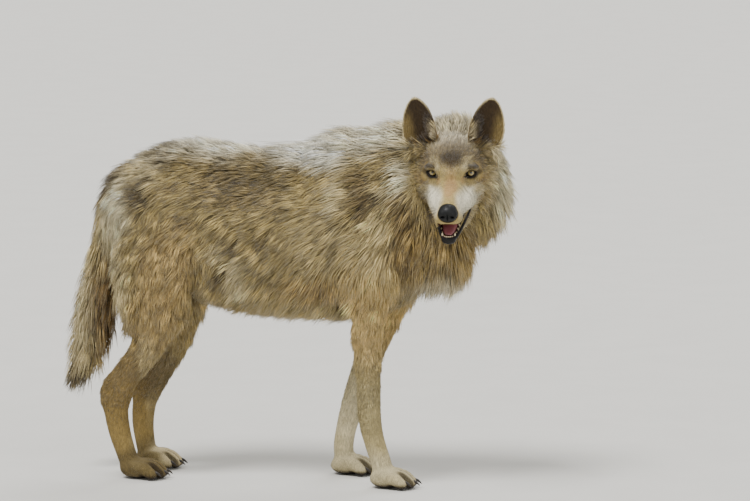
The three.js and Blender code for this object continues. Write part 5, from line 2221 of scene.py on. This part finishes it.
@dataclass
class Whiskers:
    """Stiff hairs on the lips and over the eyes."""

    rows: int = 4
    columns: int = 5
    length: float = 52

    def build(self, rods: Rods) -> None:
        """Makes all whiskers as one piece."""
        random = np.random.default_rng(SEED + 1)
        paths = []
        for side in (-1, 1):
            for i in range(self.rows):
                for j in range(self.columns):
                    at = np.array([104 - 8 * j, 24 + 1.4 * j, -58 - 5.5 * i + 0.6 * j])
                    way = np.array([0.1 - 0.22 * j, 1, -0.18 - 0.16 * i])
                    paths.append(self.hair(at, way, self.length * random.uniform(0.55, 1.0), side, random))
            for i in range(3):
                at, way = np.array([2, 26 + 5 * i, 21]), np.array([0.6, 0.25 * i, 1])
                paths.append(self.hair(at, way, self.length / 2, side, random))
        finish = Finish("whisker", paint=None, colour=(60, 52, 44), rough=0.4, specular=0.4)
        made = rods.make("whiskers", paths, finish.make(), 4)
        hand_over(made, "claw")

    @staticmethod
    def hair(
        at: np.ndarray, way: np.ndarray, length: float, side: int, random: np.random.Generator
    ) -> Rows:
        """One whisker, which sags towards its tip.

        Args:
            at: where it grows, on the head's left.
            way: the direction that it leaves in.
            length: its length in millimetres.
            side: 1 for the left, -1 for the right.
            random: gives its stray direction.

        Returns:
            Rows of x, y, z and radius.
        """
        way = unit(way + random.normal(0, 0.09, 3))
        out = []
        for s in np.linspace(0, 1, 6):
            spot = at - way * 2 + way * length * s + np.array([-6, 0, -10]) * s * s * length / 60
            out.append((*HEAD.place(spot * [1, side, 1]), 0.26 * (1 - s) + 0.05))
        return out


class Claws:
    """Every claw, each in place of its solid."""

    def build(self, rods: Rods) -> None:
        """Makes the claws of each paw."""
        horn = Finish(
            "claw",
            paint=None,
            colour=(44, 38, 33),
            rough=0.42,
            specular=0.4,
            fleck_scale=900,
            fleck=0.3,
            bump=0.2,
        ).make()
        for leg in LEGS:
            made = rods.make(f"{leg.name}_claws", leg.claw_paths(), horn, 10)
            hand_over(made, "claw", *(f"{leg.name}_claw_{i + 1}" for i in range(len(leg.spreads))))


# ---------------------------------------------------------------- studio


@dataclass
class Studio:
    """The floor, the lights and the camera."""

    distance: float = 9.0
    seen: float = 1.65  # width of the picture at the wolf
    turn: float = 12
    tip: float = 7
    aim: Triple = (256, 0, 514.5)
    floor_half: float = 90
    film: float = 36

    def build(self) -> None:
        """Makes the studio."""
        self.floor()
        self.lights()
        self.camera()

    def floor(self) -> None:
        """A plain pale floor."""
        mesh = bpy.data.meshes.new("floor")
        half = self.floor_half
        corners = [(-half, -half, 0), (half, -half, 0), (half, half, 0), (-half, half, 0)]
        mesh.from_pydata(corners, [], [(0, 1, 2, 3)])
        finish = Finish("floor", paint=None, colour=(206, 204, 198), rough=0.8, fleck_scale=6, fleck=0.02)
        mesh.materials.append(finish.make())
        made = stand("floor", mesh)
        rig.stage(made)

    def lights(self) -> None:
        """A soft light from over the camera, weaker ones from the right and behind, and a pale sky."""
        world = bpy.data.worlds.new("studio")
        world.use_nodes = True
        sky = world.node_tree.nodes["Background"].inputs
        sky["Color"].default_value = (0.92, 0.92, 0.9, 1)
        sky["Strength"].default_value = 0.72
        bpy.context.scene.world = world
        for name, at, spread, power in (
            ("key", (-1.2, -2.2, 4.6), 22, 3.6),
            ("fill", (3.6, -3.0, 2.2), 50, 0.7),
            ("rim", (0.8, 3.6, 3.8), 30, 1.1),
        ):
            lamp = bpy.data.lights.new(name, "SUN")
            lamp.energy = power
            lamp.angle = math.radians(spread)
            made = stand(name, lamp)
            made.location = at
            made.rotation_euler = (-Vector(at)).to_track_quat("-Z", "Y").to_euler()

    def camera(self) -> None:
        """The camera, a little to the wolf's front of square on, and above its back."""
        turn, tip = math.radians(self.turn), math.radians(self.tip)
        ahead = Vector((-math.sin(turn) * math.cos(tip), math.cos(turn) * math.cos(tip), -math.sin(tip)))
        aim = Vector((np.array(self.aim) + SHIFT) * MM)
        lens = bpy.data.cameras.new("camera")
        lens.sensor_width = self.film
        lens.lens = self.film * self.distance / self.seen
        lens.clip_end = 60
        made = stand("camera", lens)
        made.location = aim - ahead * self.distance
        made.rotation_euler = ahead.to_track_quat("-Z", "Y").to_euler()
        bpy.context.scene.camera = made


# ---------------------------------------------------------------- the wolf


def find_shift() -> np.ndarray:
    """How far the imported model's origin lies from the wolf's own, in millimetres, found from the left eye."""
    low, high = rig.box("eye_left")
    middle = (np.array(low) + np.array(high)) / 2 / MM
    return middle - HEAD.place(Head.eye)


SHIFT = find_shift()
TRUNK = Trunk()
NECK = Neck()
TAIL = Tail()


def main() -> None:
    """Builds the wolf, then the studio."""
    logging.basicConfig(level=logging.INFO, format="%(relativeCreated)d %(name)s: %(message)s")
    head = Head()
    markings = Markings(head.ears)
    skin = Skin(head, [TRUNK, NECK, *LEGS, TAIL, head])
    LOG.info("skin grid meshed: %d points", len(skin.points))
    apart = ("eye_", "_claw_", "tongue", "nose")
    flesh = [name for name in frame["nodes"] if not any(word in name for word in apart)]
    skin.build(markings, flesh)
    Coat(skin, markings, 0.35 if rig.quick() else 1.0).build()
    rods = Rods()
    Eyes(head).build(rods)
    Nose().build()
    Mouth().build(rods)
    Whiskers().build(rods)
    Claws().build(rods)
    Studio().build()
    with open("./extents.json", "w", encoding="utf-8") as out:
        boxes = {"cad": CAD_BOX, "visual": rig.bounds()}
        json.dump({name: [list(map(float, corner)) for corner in box] for name, box in boxes.items()}, out)


if __name__ == "__main__":
    main()
